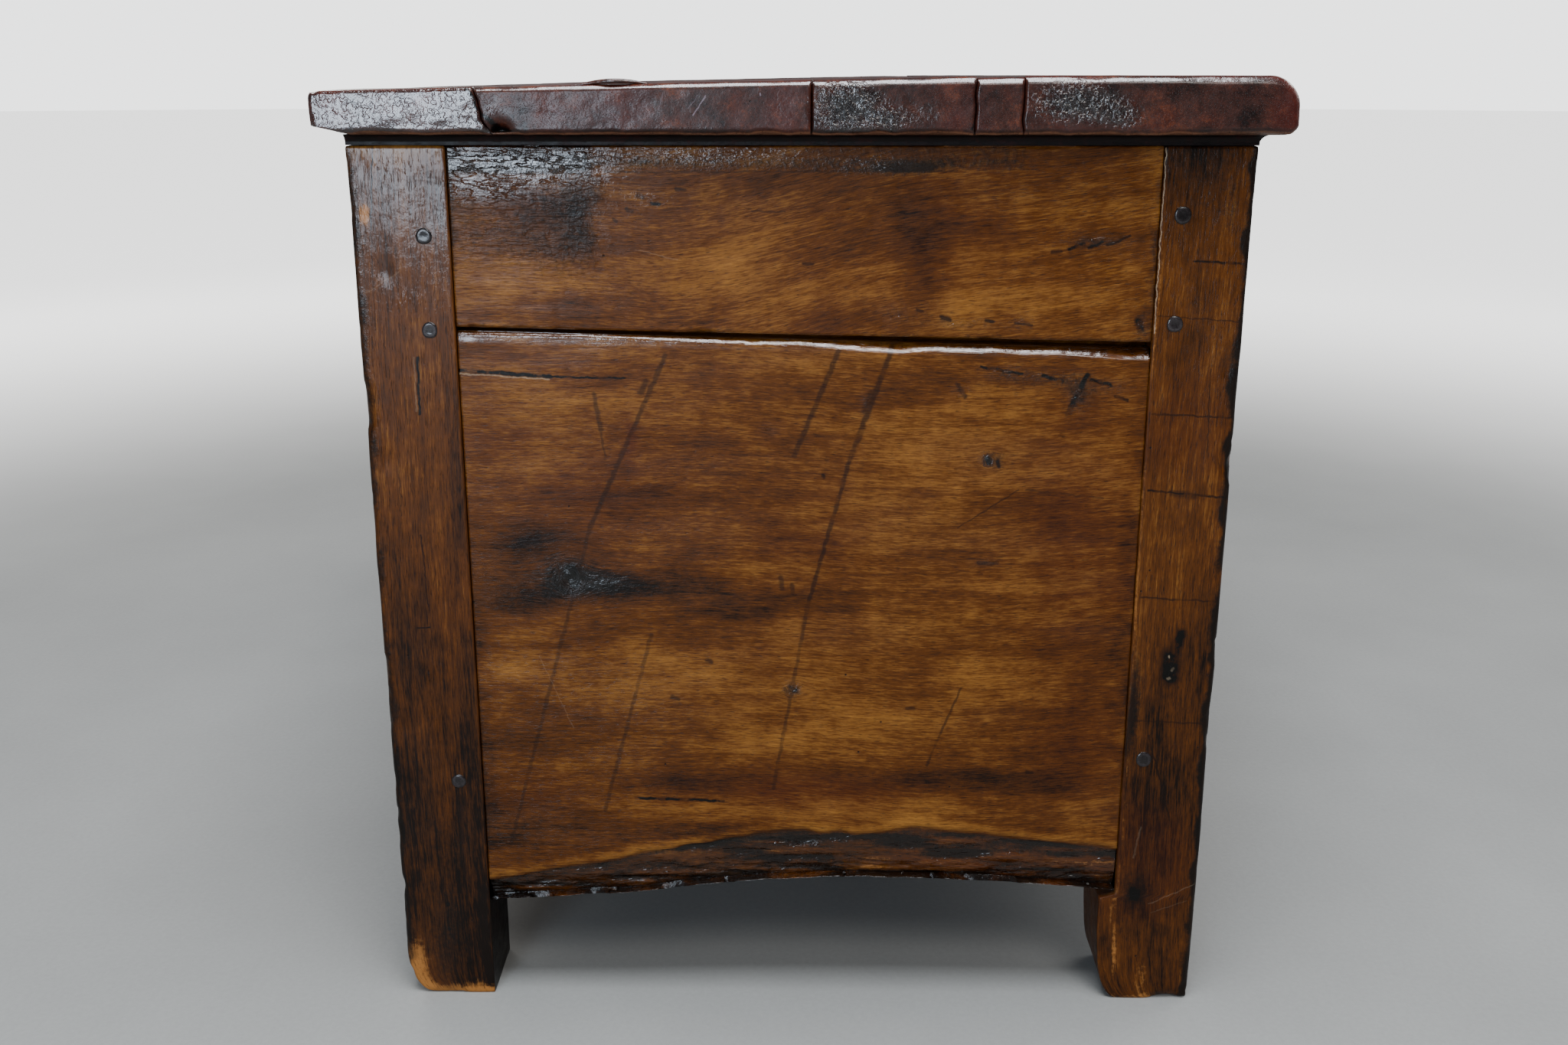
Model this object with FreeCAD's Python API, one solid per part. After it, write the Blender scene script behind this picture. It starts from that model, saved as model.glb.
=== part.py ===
# Joined walnut chest: pegged corner posts, lapped boards, hinged plank lid, till and box lock
import FreeCAD
import Part

import math
import os

from FreeCAD import Vector

# Millimetres. +X runs along the chest, the front is at -Y, +Z is up.
# The origin is on the floor, under the middle of the lid.

# Whole chest
case_length = 1070.0
case_depth = 540.0
case_height = 573.0
lid_overhang_end = 18.0
lid_overhang_front = 17.5
lid_overhang_back = 14.0
overrun = 5.0

# Corner posts
post_width = 56.0
front_post_depth = 55.0
back_post_depth = 60.0
post_arris = 3.0
back_foot_round = 24.0
front_foot_spread = 11.0
front_foot_taper_height = 60.0
front_foot_gap = 2.5

# Boards between the posts
board_recess = 1.0
end_board_thick = 26.0
front_board_thick = 28.0
back_board_thick = 22.0
shoulder_gap = 0.5
end_rail_back_height = 108.0
end_rail_front_height = 116.5
long_rail_height = 113.0
end_seam_back_gap = 2.2
end_seam_front_gap = 3.8
long_seam_gap = 2.0
lap_height = 22.0
lap_thick = 12.0
lap_fit = 0.3
seam_bevel = 4.0

# Lower edges of the boards
end_arch_back_z = 71.5
end_arch_front_z = 82.5
end_arch_peak_z = 91.5
front_arch_foot_z = 76.0
front_arch_peak_z = 94.0
back_board_foot_z = 78.0
edge_bevel_depth = 6.0
edge_bevel_height = 22.0
edge_bevel_peak_height = 34.0
# Along the board, and up the rise of the arch, counted from the back or the left
end_arch_shares = ((0.0, 0.0), (0.2, 0.29), (0.42, 0.83), (0.6, 1.0), (0.8, 0.87))
front_arch_shares = ((0.0, 0.0), (0.12, 0.35), (0.3, 0.9), (0.5, 1.0), (0.7, 0.9), (0.88, 0.35))

# Tenons, mortises and pegs
tenon_thick = 11.0
end_tenon_length = 32.0
tenon_web = 2.0
tenon_fit = 0.2
mortise_end_gap = 2.0
tenon_foot_inset = 34.0
peg_radius = 4.8
peg_fit = 0.05
peg_length = 42.0
peg_proud = 1.0
peg_dome = 0.6
back_peg_inset = 16.0
front_peg_inset = 13.0
back_post_peg_drops = (53.0, 110.0)
front_post_peg_drops = (40.0, 105.0)
long_peg_drops = (24.0, 72.0)
back_post_low_peg_z = 161.0
front_post_low_peg_z = 180.0
long_low_peg_z = 205.0

# Floor of the chest
floor_top_z = 150.0
floor_thick = 20.0
floor_gap = 1.0
floor_fit = 0.3
floor_board_names = ("front", "middle", "back")
ledger_height = 26.0
ledger_depth = 24.0

# Till across the left end
till_width = 150.0
till_floor_drop = 95.0
till_floor_thick = 12.0
till_side_thick = 14.0
till_side_drop = 10.0
till_groove = 6.0
till_housing = 6.0
till_lip = 6.0
till_fit = 0.2

# Lid planks, whose joints are counted from the back edge of the lid
lid_back_thick = 25.0
lid_front_thick = 33.3
lid_back_plank_width = 100.0
lid_wide_plank_width = 191.0
lid_narrow_plank_width = 94.0
lid_repair_width = 28.0
lid_repair_drop = 0.8
lid_joint_gap = 0.3
lid_nose_radius = 19.0
lid_nose_under_radius = 5.0
lid_back_chamfer = 4.0
lid_end_arris = 3.0
lid_end_chamfer = 3.0

# Strip under the edge of the lid
moulding_height = 6.2
moulding_width = 18.0
moulding_fillet = 2.0
moulding_cove = 4.5
cove_hollow_share = 0.36
lid_seat_gap = 0.3

# Strap hinges
hinge_x = 315.0
strap_thick = 2.5
strap_width = 34.0
strap_tip_width = 22.0
lid_strap_length = 330.0
back_strap_length = 168.0
knuckle_radius = 6.0
knuckle_gap = 1.0
knuckle_side_gap = 0.3
hinge_axis_drop = 3.0
back_strap_drop = 1.0
pin_radius = 2.5
pin_fit = 0.06
pin_head_radius = 4.2
pin_head_thick = 1.6
strap_slot_fit = 0.5

# Lock on the inside of the front rail
lock_plate_width = 110.0
lock_plate_height = 90.0
lock_plate_thick = 2.5
lock_plate_drop = 1.0
lock_case_width = 88.0
lock_case_height = 72.0
lock_case_depth = 27.0
lock_wall = 2.0
lock_pin_radius = 1.8
keyhole_radius = 4.5
keyhole_slot_width = 3.6
keyhole_slot_length = 14.0
keyhole_drop = 36.0
key_pin_gap = 3.0
bolt_height = 8.0
bolt_thick = 4.5
bolt_length = 34.0
bolt_travel = 16.0
bolt_rest_gap = 5.0
bolt_notch = 4.0
bolt_notch_depth = 2.5
bolt_fit = 0.3
bolt_drop = 9.5
guide_thick = 3.0
guide_border = 2.5
staple_width = 18.0
staple_bar = 3.5
staple_thick = 5.0
staple_drop = 24.0
staple_slot_gap = 1.6
staple_plate_length = 44.0
staple_plate_width = 26.0

# Forged nails
nail_side = 3.0
nail_length = 18.0
nail_head = 9.0
nail_head_height = 2.4
floor_nail_length = 26.0
long_floor_nail_shares = (-0.65, -0.33, 0.0, 0.33, 0.65)
lid_strap_nail_shares = (0.09, 0.36, 0.63, 0.9)
back_strap_nail_shares = (0.15, 0.38, 0.72, 0.92)

# Places worked out from the sizes above
half_length = case_length / 2
lid_depth = case_depth + lid_overhang_front + lid_overhang_back
lid_front_y = -lid_depth / 2
lid_back_y = lid_depth / 2
front_y = lid_front_y + lid_overhang_front
back_y = lid_back_y - lid_overhang_back
post_inner_x = half_length - post_width
front_post_inner_y = front_y + front_post_depth
back_post_inner_y = back_y - back_post_depth
end_face_x = half_length - board_recess
end_inner_x = end_face_x - end_board_thick
front_face_y = front_y + board_recess
front_inner_y = front_face_y + front_board_thick
back_face_y = back_y - board_recess
back_inner_y = back_face_y - back_board_thick
end_tenon_x = end_inner_x + lap_thick
long_tenon_length = (
    post_width - (half_length - end_inner_x) - (lap_thick - tenon_thick) - mortise_end_gap - tenon_web
)
lid_under_z = case_height + lid_seat_gap + moulding_height
lid_half_length = half_length + lid_overhang_end
hinge_axis_y = back_face_y + knuckle_gap + knuckle_radius
hinge_axis_z = case_height - hinge_axis_drop
back_strap_z = hinge_axis_z - back_strap_drop
floor_under_z = floor_top_z - floor_thick
lock_inner_y = front_inner_y + lock_plate_thick
lock_case_y = lock_inner_y + lock_case_depth
lock_top_z = case_height - lock_plate_drop
staple_y = (lock_inner_y + lock_case_y - lock_wall) / 2
keyhole_z = case_height - keyhole_drop
bolt_z = case_height - bolt_drop
bolt_end_x = -staple_thick / 2 - bolt_rest_gap
long_seam_z = case_height - long_rail_height

front = {
    "way": -1,
    "post_face": front_y,
    "post_inner": front_post_inner_y,
    "board_face": front_face_y,
    "board_inner": front_inner_y,
    "board_foot": front_arch_foot_z,
    "end_arch": end_arch_front_z,
    "peg_inset": front_peg_inset,
    "peg_drops": front_post_peg_drops,
    "low_peg": front_post_low_peg_z,
}
back = {
    "way": 1,
    "post_face": back_y,
    "post_inner": back_post_inner_y,
    "board_face": back_face_y,
    "board_inner": back_inner_y,
    "board_foot": back_board_foot_z,
    "end_arch": end_arch_back_z,
    "peg_inset": back_peg_inset,
    "peg_drops": back_post_peg_drops,
    "low_peg": back_post_low_peg_z,
}
walls = {"front": front, "back": back}


def block(x0, x1, y0, y1, z0, z1):
    """Box between two corners, given in any order."""
    low = Vector(min(x0, x1), min(y0, y1), min(z0, z1))
    return Part.makeBox(abs(x1 - x0), abs(y1 - y0), abs(z1 - z0), low)


def rod(radius, foot, run):
    """Round bar from foot along the vector run."""
    return Part.makeCylinder(radius, run.Length, foot, run)


def prism(points, run):
    """Straight-sided outline carried along the vector run."""
    return Part.Face(Part.makePolygon([*points, points[0]])).extrude(run)


def carry(edges, run):
    """Closed outline of lines and curves carried along the vector run."""
    return Part.Face(Part.Wire([edge.toShape() for edge in edges])).extrude(run)


def lines(*points):
    """Line segments from each point to the next."""
    return [Part.LineSegment(start, end) for start, end in zip(points, points[1:])]


def along_x(points, x0, x1):
    """Outline of (y, z) points carried from x0 to x1."""
    return prism([Vector(x0, y, z) for y, z in points], Vector(x1 - x0, 0, 0))


def edges_near(shape, test):
    """The shape's edges whose bounding box passes the test."""
    return [edge for edge in shape.Edges if test(edge.BoundBox)]


def cut_all(shape, tools):
    return shape.cut(Part.makeCompound(tools)) if tools else shape


def flip(shape):
    """The same piece at the other end of the chest."""
    return shape.mirror(Vector(0, 0, 0), Vector(1, 0, 0))


def nail(place, direction, length=nail_length):
    """Square forged nail with a four-sided head, driven from place along direction."""
    side = nail_side / 2
    half = nail_head / 2
    corners = [Vector(x * half, y * half, 0) for x, y in ((-1, -1), (1, -1), (1, 1), (-1, 1))]
    tip = [corner * (nail_side / nail_head) + Vector(0, 0, -nail_head_height) for corner in corners]
    rings = [Part.makePolygon([*ring, ring[0]]) for ring in (corners, tip)]
    made = block(-side, side, -side, side, 0, length).fuse(Part.makeLoft(rings, True, True))
    made.Placement = FreeCAD.Placement(place, FreeCAD.Rotation(Vector(0, 0, 1), direction))
    return made


def peg(face_point, direction, spare=0.0):
    """Round riven peg with a low dome, driven from a face along direction."""
    radius = peg_radius + spare
    foot = face_point - direction * peg_proud
    shank = rod(radius, foot, direction * (peg_length + peg_proud))
    dome = Part.makeCone(radius - peg_dome, radius, peg_dome, foot - direction * peg_dome, direction)
    return shank.fuse(dome)


def end_pegs(side_x, wall, spare=0.0):
    """The three pegs that hold the end boards in one corner post."""
    y = wall["post_inner"] + wall["way"] * wall["peg_inset"]
    heights = [case_height - drop for drop in wall["peg_drops"]] + [wall["low_peg"]]
    return [peg(Vector(side_x * half_length, y, z), Vector(-side_x, 0, 0), spare) for z in heights]


def long_pegs(side_x, wall, spare=0.0):
    """The three pegs that hold the front or back boards in one corner post."""
    x = side_x * (post_inner_x + long_tenon_length / 2)
    heights = [case_height - drop for drop in long_peg_drops] + [long_low_peg_z]
    return [peg(Vector(x, wall["post_face"], z), Vector(0, -wall["way"], 0), spare) for z in heights]


def post(side_x, wall):
    """Corner post running down into the foot, with its mortises, peg holes and worn arrises."""
    outer_x = side_x * half_length
    body = block(outer_x, side_x * post_inner_x, wall["post_face"], wall["post_inner"], 0, case_height)
    outer = edges_near(
        body,
        lambda box: box.ZLength > case_height / 2
        and abs(box.Center.x - outer_x) < post_arris
        and abs(box.Center.y - wall["post_face"]) < post_arris,
    )
    body = body.makeFillet(post_arris, outer)
    if wall["way"] > 0:
        sole = edges_near(
            body,
            lambda box: box.ZMax < post_arris
            and box.XLength > post_width / 2
            and abs(box.Center.y - back_y) < post_arris,
        )
        body = body.makeFillet(back_foot_round, sole)
    else:
        body = body.fuse(foot_spread(side_x)).removeSplitter()
    return cut_all(body, [
        end_mortise(side_x, wall),
        long_mortise(side_x, wall),
        *end_pegs(side_x, wall, peg_fit),
        *long_pegs(side_x, wall, peg_fit),
    ])


def foot_spread(side_x):
    """The front foot's inner side, which stands out under the end board and tapers to the floor."""
    y0 = front_post_inner_y
    y1 = front_post_inner_y + front_foot_spread
    top = end_arch_front_z - front_foot_gap
    points = [(y0, 0), (y1, front_foot_taper_height), (y1, top), (y0, top)]
    return along_x(points, side_x * half_length, side_x * post_inner_x)


def end_mortise(side_x, wall):
    """Slot in a post for the tenons of the two end boards."""
    x0 = side_x * (end_tenon_x + tenon_fit)
    x1 = side_x * (end_tenon_x - tenon_thick - tenon_fit)
    y1 = wall["post_inner"] + wall["way"] * (end_tenon_length + mortise_end_gap)
    foot = wall["end_arch"] + tenon_foot_inset - tenon_fit
    return block(x0, x1, wall["post_inner"], y1, foot, case_height)


def long_mortise(side_x, wall):
    """Slot in a post for the tenons of the two front boards or the two back boards."""
    way = wall["way"]
    y0 = wall["board_inner"] + way * (lap_thick - tenon_thick - tenon_fit)
    y1 = wall["board_inner"] + way * (lap_thick + tenon_fit)
    x1 = post_inner_x + long_tenon_length + mortise_end_gap
    foot = wall["board_foot"] + tenon_foot_inset - tenon_fit
    return block(side_x * post_inner_x, side_x * x1, y0, y1, foot, case_height)


def seam_share(y):
    """How far y lies from the back post to the front post."""
    return (back_post_inner_y - y) / (back_post_inner_y - front_post_inner_y)


def seam_z(y):
    """Height of the lower edge of the end rail, which is wider at the front."""
    widening = end_rail_front_height - end_rail_back_height
    return case_height - end_rail_back_height - seam_share(y) * widening


def end_board_top(y):
    """Height of the upper edge of the lower end board, below an open joint that widens forwards."""
    return seam_z(y) - end_seam_back_gap - seam_share(y) * (end_seam_front_gap - end_seam_back_gap)


def seam_band(y0, y1, below):
    """Outline from the case top down to a line that lies below the joint between the end boards."""
    return [(y0, seam_z(y0) - below), (y1, seam_z(y1) - below), (y1, case_height), (y0, case_height)]


def end_rail(side_x):
    """Upper end board: a wide rail whose tongue laps behind the lower board."""
    y0 = back_post_inner_y - shoulder_gap
    y1 = front_post_inner_y + shoulder_gap
    lap_x = side_x * end_tenon_x
    board = along_x(seam_band(y0, y1, 0), side_x * end_face_x, side_x * end_inner_x)
    tongue = along_x(seam_band(y0, y1, lap_height), lap_x, side_x * end_inner_x)
    y2 = back_post_inner_y + end_tenon_length
    y3 = front_post_inner_y - end_tenon_length
    tenons = along_x(seam_band(y2, y3, lap_height), lap_x, side_x * (end_tenon_x - tenon_thick))
    return board.fuse([tongue, tenons]).removeSplitter()


def arch_points(shares, ends, heights, peak):
    """Points of a worn lower edge, and how far each has risen, from 0 at the lower end to 1."""
    low = min(heights)
    points = []
    for along_share, up_share in [*shares, (1.0, None)]:
        z = heights[1] if up_share is None else heights[0] + up_share * (peak - heights[0])
        points.append((ends[0] + along_share * (ends[1] - ends[0]), z, (z - low) / (peak - low)))
    return points


def arched_board(points, top_z, thick_run, place, into):
    """Board with an arched lower edge, whose outer arris is worn to a bevel that widens at the peak.

    place(along, z) is a point of the outer face, and into is the unit vector into the board.
    """
    curve = Part.BSplineCurve()
    curve.interpolate([place(along, z) for along, z, _ in points])
    first, last = points[0], points[-1]
    corners = [
        place(last[0], last[1]),
        place(last[0], top_z(last[0])),
        place(first[0], top_z(first[0])),
        place(first[0], first[1]),
    ]
    board = carry([curve, *lines(*corners)], thick_run)
    rings = []
    for along, z, rise in points:
        height = edge_bevel_height + rise * (edge_bevel_peak_height - edge_bevel_height)
        lean = into * (overrun * edge_bevel_depth / height)
        top = place(along, z + height + overrun) - lean
        inner = place(along, z - overrun) + into * edge_bevel_depth + lean
        outer = place(along, z - overrun) - lean
        rings.append(Part.makePolygon([top, inner, outer, top]))
    return board.cut(Part.makeLoft(rings, True, True))


def end_board(side_x):
    """Lower end board: rebated for the rail's tongue, with an arched and bevelled lower edge."""
    y0 = back_post_inner_y - shoulder_gap
    y1 = front_post_inner_y + shoulder_gap
    x = side_x * end_face_x
    into = Vector(-side_x, 0, 0)
    points = arch_points(end_arch_shares, (y0, y1), (end_arch_back_z, end_arch_front_z), end_arch_peak_z)
    thick_run = into * end_board_thick
    board = arched_board(points, end_board_top, thick_run, lambda y, z: Vector(x, y, z), into)
    worn = prism(
        [
            Vector(x - side_x * seam_bevel, y0, end_board_top(y0)),
            Vector(x, y0, end_board_top(y0) - seam_bevel * 2),
            Vector(x, y0, end_board_top(y0)),
        ],
        Vector(0, y1 - y0, end_board_top(y1) - end_board_top(y0)),
    )
    lap_x = side_x * (end_tenon_x + lap_fit)
    rebate = along_x(seam_band(y0, y1, lap_height + lap_fit), lap_x, side_x * end_inner_x)
    tenons = []
    for wall, y in ((back, y0), (front, y1)):
        out = wall["post_inner"] + wall["way"] * end_tenon_length
        foot = wall["end_arch"] + tenon_foot_inset
        top = seam_z(y) - lap_height - overrun
        tenons.append(block(side_x * end_tenon_x, side_x * (end_tenon_x - tenon_thick), y, out, foot, top))
    return cut_all(board, [worn, rebate]).fuse(tenons).removeSplitter()


def long_rail(wall):
    """Upper front or back board, with its lapping tongue and its tenons."""
    lap_y = wall["board_inner"] + wall["way"] * lap_thick
    tenon_y = lap_y - wall["way"] * tenon_thick
    x1 = post_inner_x - shoulder_gap
    x2 = post_inner_x + long_tenon_length
    board = block(-x1, x1, wall["board_face"], wall["board_inner"], long_seam_z, case_height)
    tongue = block(-x1, x1, wall["board_inner"], lap_y, long_seam_z - lap_height, case_height)
    tenons = block(-x2, x2, tenon_y, lap_y, long_seam_z - lap_height, case_height)
    return board.fuse([tongue, tenons]).removeSplitter()


def long_board(wall):
    """Lower front or back board: the front one is arched and bevelled, the back one straight."""
    way = wall["way"]
    x1 = post_inner_x - shoulder_gap
    x2 = post_inner_x + long_tenon_length
    top = long_seam_z - long_seam_gap
    foot = wall["board_foot"]
    if way < 0:
        points = arch_points(front_arch_shares, (-x1, x1), (foot, foot), front_arch_peak_z)
        into = Vector(0, 1, 0)
        face_y = wall["board_face"]
        thick_run = into * front_board_thick
        board = arched_board(points, lambda x: top, thick_run, lambda x, z: Vector(x, face_y, z), into)
    else:
        board = block(-x1, x1, wall["board_face"], wall["board_inner"], foot, top)
    lap_y = wall["board_inner"] + way * lap_thick
    tenon_y = lap_y - way * tenon_thick
    rebate_z = long_seam_z - lap_height - lap_fit
    rebate = block(-x1, x1, wall["board_inner"], lap_y + way * lap_fit, rebate_z, top)
    tenon_foot = foot + tenon_foot_inset
    tenons = [block(s * x1, s * x2, tenon_y, lap_y, tenon_foot, rebate_z - overrun) for s in (-1, 1)]
    return board.cut(rebate).fuse(tenons).removeSplitter()


def case():
    """Posts, boards and pegs of the open box."""
    pieces = {}
    for name, wall in walls.items():
        pieces[f"post_{name}_left"] = post(-1, wall)
        pieces[f"post_{name}_right"] = flip(pieces[f"post_{name}_left"])
        holes = long_pegs(-1, wall, peg_fit) + long_pegs(1, wall, peg_fit)
        pieces[f"{name}_rail"] = cut_all(long_rail(wall), holes)
        pieces[f"{name}_board"] = cut_all(long_board(wall), holes)
        pieces[f"pegs_{name}"] = Part.makeCompound(long_pegs(-1, wall) + long_pegs(1, wall))
    holes = end_pegs(-1, front, peg_fit) + end_pegs(-1, back, peg_fit)
    pieces["end_rail_left"] = cut_all(end_rail(-1), holes)
    pieces["end_board_left"] = cut_all(end_board(-1), holes)
    pieces["pegs_end_left"] = Part.makeCompound(end_pegs(-1, front) + end_pegs(-1, back))
    for name in ("end_rail", "end_board", "pegs_end"):
        pieces[f"{name}_right"] = flip(pieces[f"{name}_left"])
    return pieces


def post_corners(spare):
    """The inside corners of the posts, which the floor and the till are notched round."""
    corners = []
    for side_x in (-1, 1):
        x = side_x * (post_inner_x - spare)
        for wall in walls.values():
            y = wall["post_inner"] - wall["way"] * spare
            corners.append(block(x, side_x * half_length, y, wall["post_face"], 0, case_height))
    return corners


def floor_strips():
    """Front and back edge of each floor board."""
    low = front_inner_y + floor_fit
    high = back_inner_y - floor_fit
    count = len(floor_board_names)
    width = (high - low - floor_gap * (count - 1)) / count
    starts = [low + number * (width + floor_gap) for number in range(count)]
    return [(start, start + width) for start in starts]


def floor_nails():
    """Two nails between the posts at each end of each floor board, and a row along two edges."""
    x = end_inner_x - ledger_depth / 2
    down = Vector(0, 0, -1)
    places = []
    for y0, y1 in floor_strips():
        low = max(y0, front_post_inner_y)
        high = min(y1, back_post_inner_y)
        inset = (high - low) / 4
        places += [Vector(side * x, y, floor_top_z) for side in (-1, 1) for y in (low + inset, high - inset)]
    for share in long_floor_nail_shares:
        places.append(Vector(share * post_inner_x, front_inner_y + ledger_depth / 2, floor_top_z))
        places.append(Vector(share * post_inner_x, back_inner_y - ledger_depth / 2, floor_top_z))
    return [nail(place, down, floor_nail_length) for place in places]


def chest_floor():
    """Floor boards lying from end to end on four ledgers, nailed down."""
    pieces = {}
    nails = floor_nails()
    x = end_inner_x - floor_fit
    notches = post_corners(floor_fit)
    for name, (y0, y1) in zip(floor_board_names, floor_strips()):
        board = block(-x, x, y0, y1, floor_under_z, floor_top_z)
        pieces[f"floor_board_{name}"] = cut_all(board, notches + nails)
    z0 = floor_under_z - ledger_height
    x_long = post_inner_x - floor_fit
    for name, wall in walls.items():
        y = wall["board_inner"]
        batten = block(-x_long, x_long, y, y - wall["way"] * ledger_depth, z0, floor_under_z)
        pieces[f"floor_ledger_{name}"] = cut_all(batten, nails)
    y0 = front_post_inner_y + floor_fit
    y1 = back_post_inner_y - floor_fit
    batten = block(-end_inner_x, ledger_depth - end_inner_x, y0, y1, z0, floor_under_z)
    pieces["floor_ledger_left"] = cut_all(batten, nails)
    pieces["floor_ledger_right"] = flip(pieces["floor_ledger_left"])
    pieces["floor_nails"] = Part.makeCompound(nails)
    return pieces


def till_floor(spare=0.0):
    """Thin board that closes the till below, or with spare, the grooves that it slides in."""
    z1 = case_height - till_floor_drop
    x1 = till_width - end_inner_x + till_housing
    y0 = front_inner_y - till_groove - spare
    y1 = back_inner_y + till_groove + spare
    return block(till_fit - end_inner_x, x1 + spare, y0, y1, z1 - till_floor_thick - spare, z1 + spare)


def till_side(spare=0.0):
    """Upright side of the till, housed over the edge of its floor, or with spare, its grooves."""
    x0 = till_width - end_inner_x
    y0 = front_inner_y - till_groove - spare
    y1 = back_inner_y + till_groove + spare
    z0 = case_height - till_floor_drop - till_floor_thick - till_lip
    side = block(x0 - spare, x0 + till_side_thick + spare, y0, y1, z0 - spare, case_height - till_side_drop)
    return side if spare else side.cut(till_floor(till_fit))


def plank_joints():
    """Where the planks meet, from the back edge of the lid to its front edge."""
    places = [lid_back_y]
    for width in (lid_back_plank_width, lid_wide_plank_width, lid_narrow_plank_width, lid_repair_width):
        places.append(places[-1] - width)
    return [*places, lid_front_y]


def lid_top(y):
    """Height of the lid's upper face, which rises from the back edge to the front plank."""
    share = (lid_back_y - y) / (lid_back_y - plank_joints()[-2])
    return lid_under_z + lid_back_thick + share * (lid_front_thick - lid_back_thick)


def end_arrises(plank, above):
    """The upper or the lower edges across both ends of a plank."""
    middle_z = lid_under_z + lid_back_thick / 2
    return edges_near(
        plank,
        lambda box: box.XLength < lid_end_arris
        and box.YLength > lid_repair_width / 2
        and (box.ZMin > middle_z if above else box.ZMax < middle_z),
    )


def flat_plank(y_back, y_front, drop=0.0):
    """Plank with sawn edges, whose upper face follows the rise of the lid or lies a little lower."""
    y0 = y_back if y_back == lid_back_y else y_back - lid_joint_gap / 2
    y1 = y_front + lid_joint_gap / 2
    z0 = lid_under_z
    points = [(y0, z0), (y1, z0), (y1, lid_top(y_front) - drop), (y0, lid_top(y_back) - drop)]
    plank = along_x(points, -lid_half_length, lid_half_length)
    plank = plank.makeFillet(lid_end_arris, end_arrises(plank, True))
    return plank.makeChamfer(lid_end_chamfer, end_arrises(plank, False))


def back_plank(y_back, y_front):
    """The back plank, chamfered along its lower outer edge."""
    plank = flat_plank(y_back, y_front)
    corner = [
        (y_back, lid_under_z + lid_back_chamfer),
        (y_back - lid_back_chamfer * 2, lid_under_z),
        (y_back, lid_under_z),
    ]
    return plank.cut(along_x(corner, -lid_half_length, lid_half_length))


def nose_plank(y_back):
    """The front plank, its edge rounded over above and eased below."""
    x = -lid_half_length
    half = math.sqrt(2) / 2
    z0 = lid_under_z
    z1 = lid_under_z + lid_front_thick
    y0 = y_back - lid_joint_gap / 2
    upper = lid_nose_radius
    lower = lid_nose_under_radius
    upper_y = lid_front_y + upper
    lower_y = lid_front_y + lower

    def at(y, z):
        return Vector(x, y, z)

    edges = [
        *lines(at(lower_y, z0), at(y0, z0), at(y0, z1), at(upper_y, z1)),
        Part.Arc(
            at(upper_y, z1),
            at(upper_y - upper * half, z1 - upper + upper * half),
            at(lid_front_y, z1 - upper),
        ),
        *lines(at(lid_front_y, z1 - upper), at(lid_front_y, z0 + lower)),
        Part.Arc(
            at(lid_front_y, z0 + lower),
            at(lower_y - lower * half, z0 + lower - lower * half),
            at(lower_y, z0),
        ),
    ]
    plank = carry(edges, Vector(lid_half_length * 2, 0, 0))
    return plank.makeFillet(lid_end_arris, end_arrises(plank, True))


def lid_planks():
    joints = plank_joints()
    return {
        "lid_plank_back": back_plank(joints[0], joints[1]),
        "lid_plank_wide": flat_plank(joints[1], joints[2]),
        "lid_plank_narrow": flat_plank(joints[2], joints[3]),
        "lid_repair_strip": flat_plank(joints[3], joints[4], lid_repair_drop),
        "lid_plank_front": nose_plank(joints[4]),
    }


def cove(place, run):
    """Moulding whose face rises from a small fillet in a hollow curve to the lid.

    place(out, z) is a point of its section, out being the distance from the face of the posts.
    """
    z0 = lid_under_z - moulding_height
    z1 = z0 + moulding_fillet
    rise = lid_under_z - z1
    hollow = place(moulding_cove * cove_hollow_share, z1 + rise * (1 - cove_hollow_share))
    edges = lines(
        place(moulding_cove, lid_under_z),
        place(-moulding_width, lid_under_z),
        place(-moulding_width, z0),
        place(0, z0),
        place(0, z1),
    )
    return carry([*edges, Part.Arc(place(0, z1), hollow, place(moulding_cove, lid_under_z))], run)


def mitre(side_x, keep_front):
    """Wedge beyond the mitre line at a front corner, cut off the front or the end moulding."""
    reach = moulding_width + moulding_cove + overrun * 2
    x = side_x * half_length
    z0 = lid_under_z - moulding_height - overrun
    outer = Vector(x + side_x * reach, front_y - reach, z0)
    inner = Vector(x - side_x * reach, front_y + reach, z0)
    third = Vector(outer.x, inner.y, z0) if keep_front else Vector(inner.x, outer.y, z0)
    return prism([outer, inner, third], Vector(0, 0, moulding_height + overrun * 2))


def mouldings():
    """Coved strips under the front and end edges of the lid, mitred at the front corners."""
    x0 = half_length + moulding_cove + overrun
    y0 = front_y - moulding_cove - overrun
    long_run = Vector(x0 * 2, 0, 0)
    end_run = Vector(0, back_face_y - y0, 0)
    long_strip = cove(lambda out, z: Vector(-x0, front_y - out, z), long_run)
    end_strip = cove(lambda out, z: Vector(-half_length - out, y0, z), end_run)
    left = end_strip.cut(mitre(-1, False))
    return {
        "lid_moulding_front": cut_all(long_strip, [mitre(-1, True), mitre(1, True)]),
        "lid_moulding_left": left,
        "lid_moulding_right": flip(left),
    }


def back_strip():
    """Plain strip under the back edge of the lid, notched over the hinge straps."""
    x1 = half_length - moulding_width - lid_joint_gap
    y0 = back_face_y - moulding_width
    slot = strap_width / 2 + strap_slot_fit
    slot_z = lid_under_z - strap_thick - strap_slot_fit
    slots = [block(x - slot, x + slot, y0, back_face_y, slot_z, lid_under_z) for x in (-hinge_x, hinge_x)]
    strip = block(-x1, x1, back_face_y, y0, lid_under_z - moulding_height, lid_under_z)
    return cut_all(strip, slots)


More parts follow.
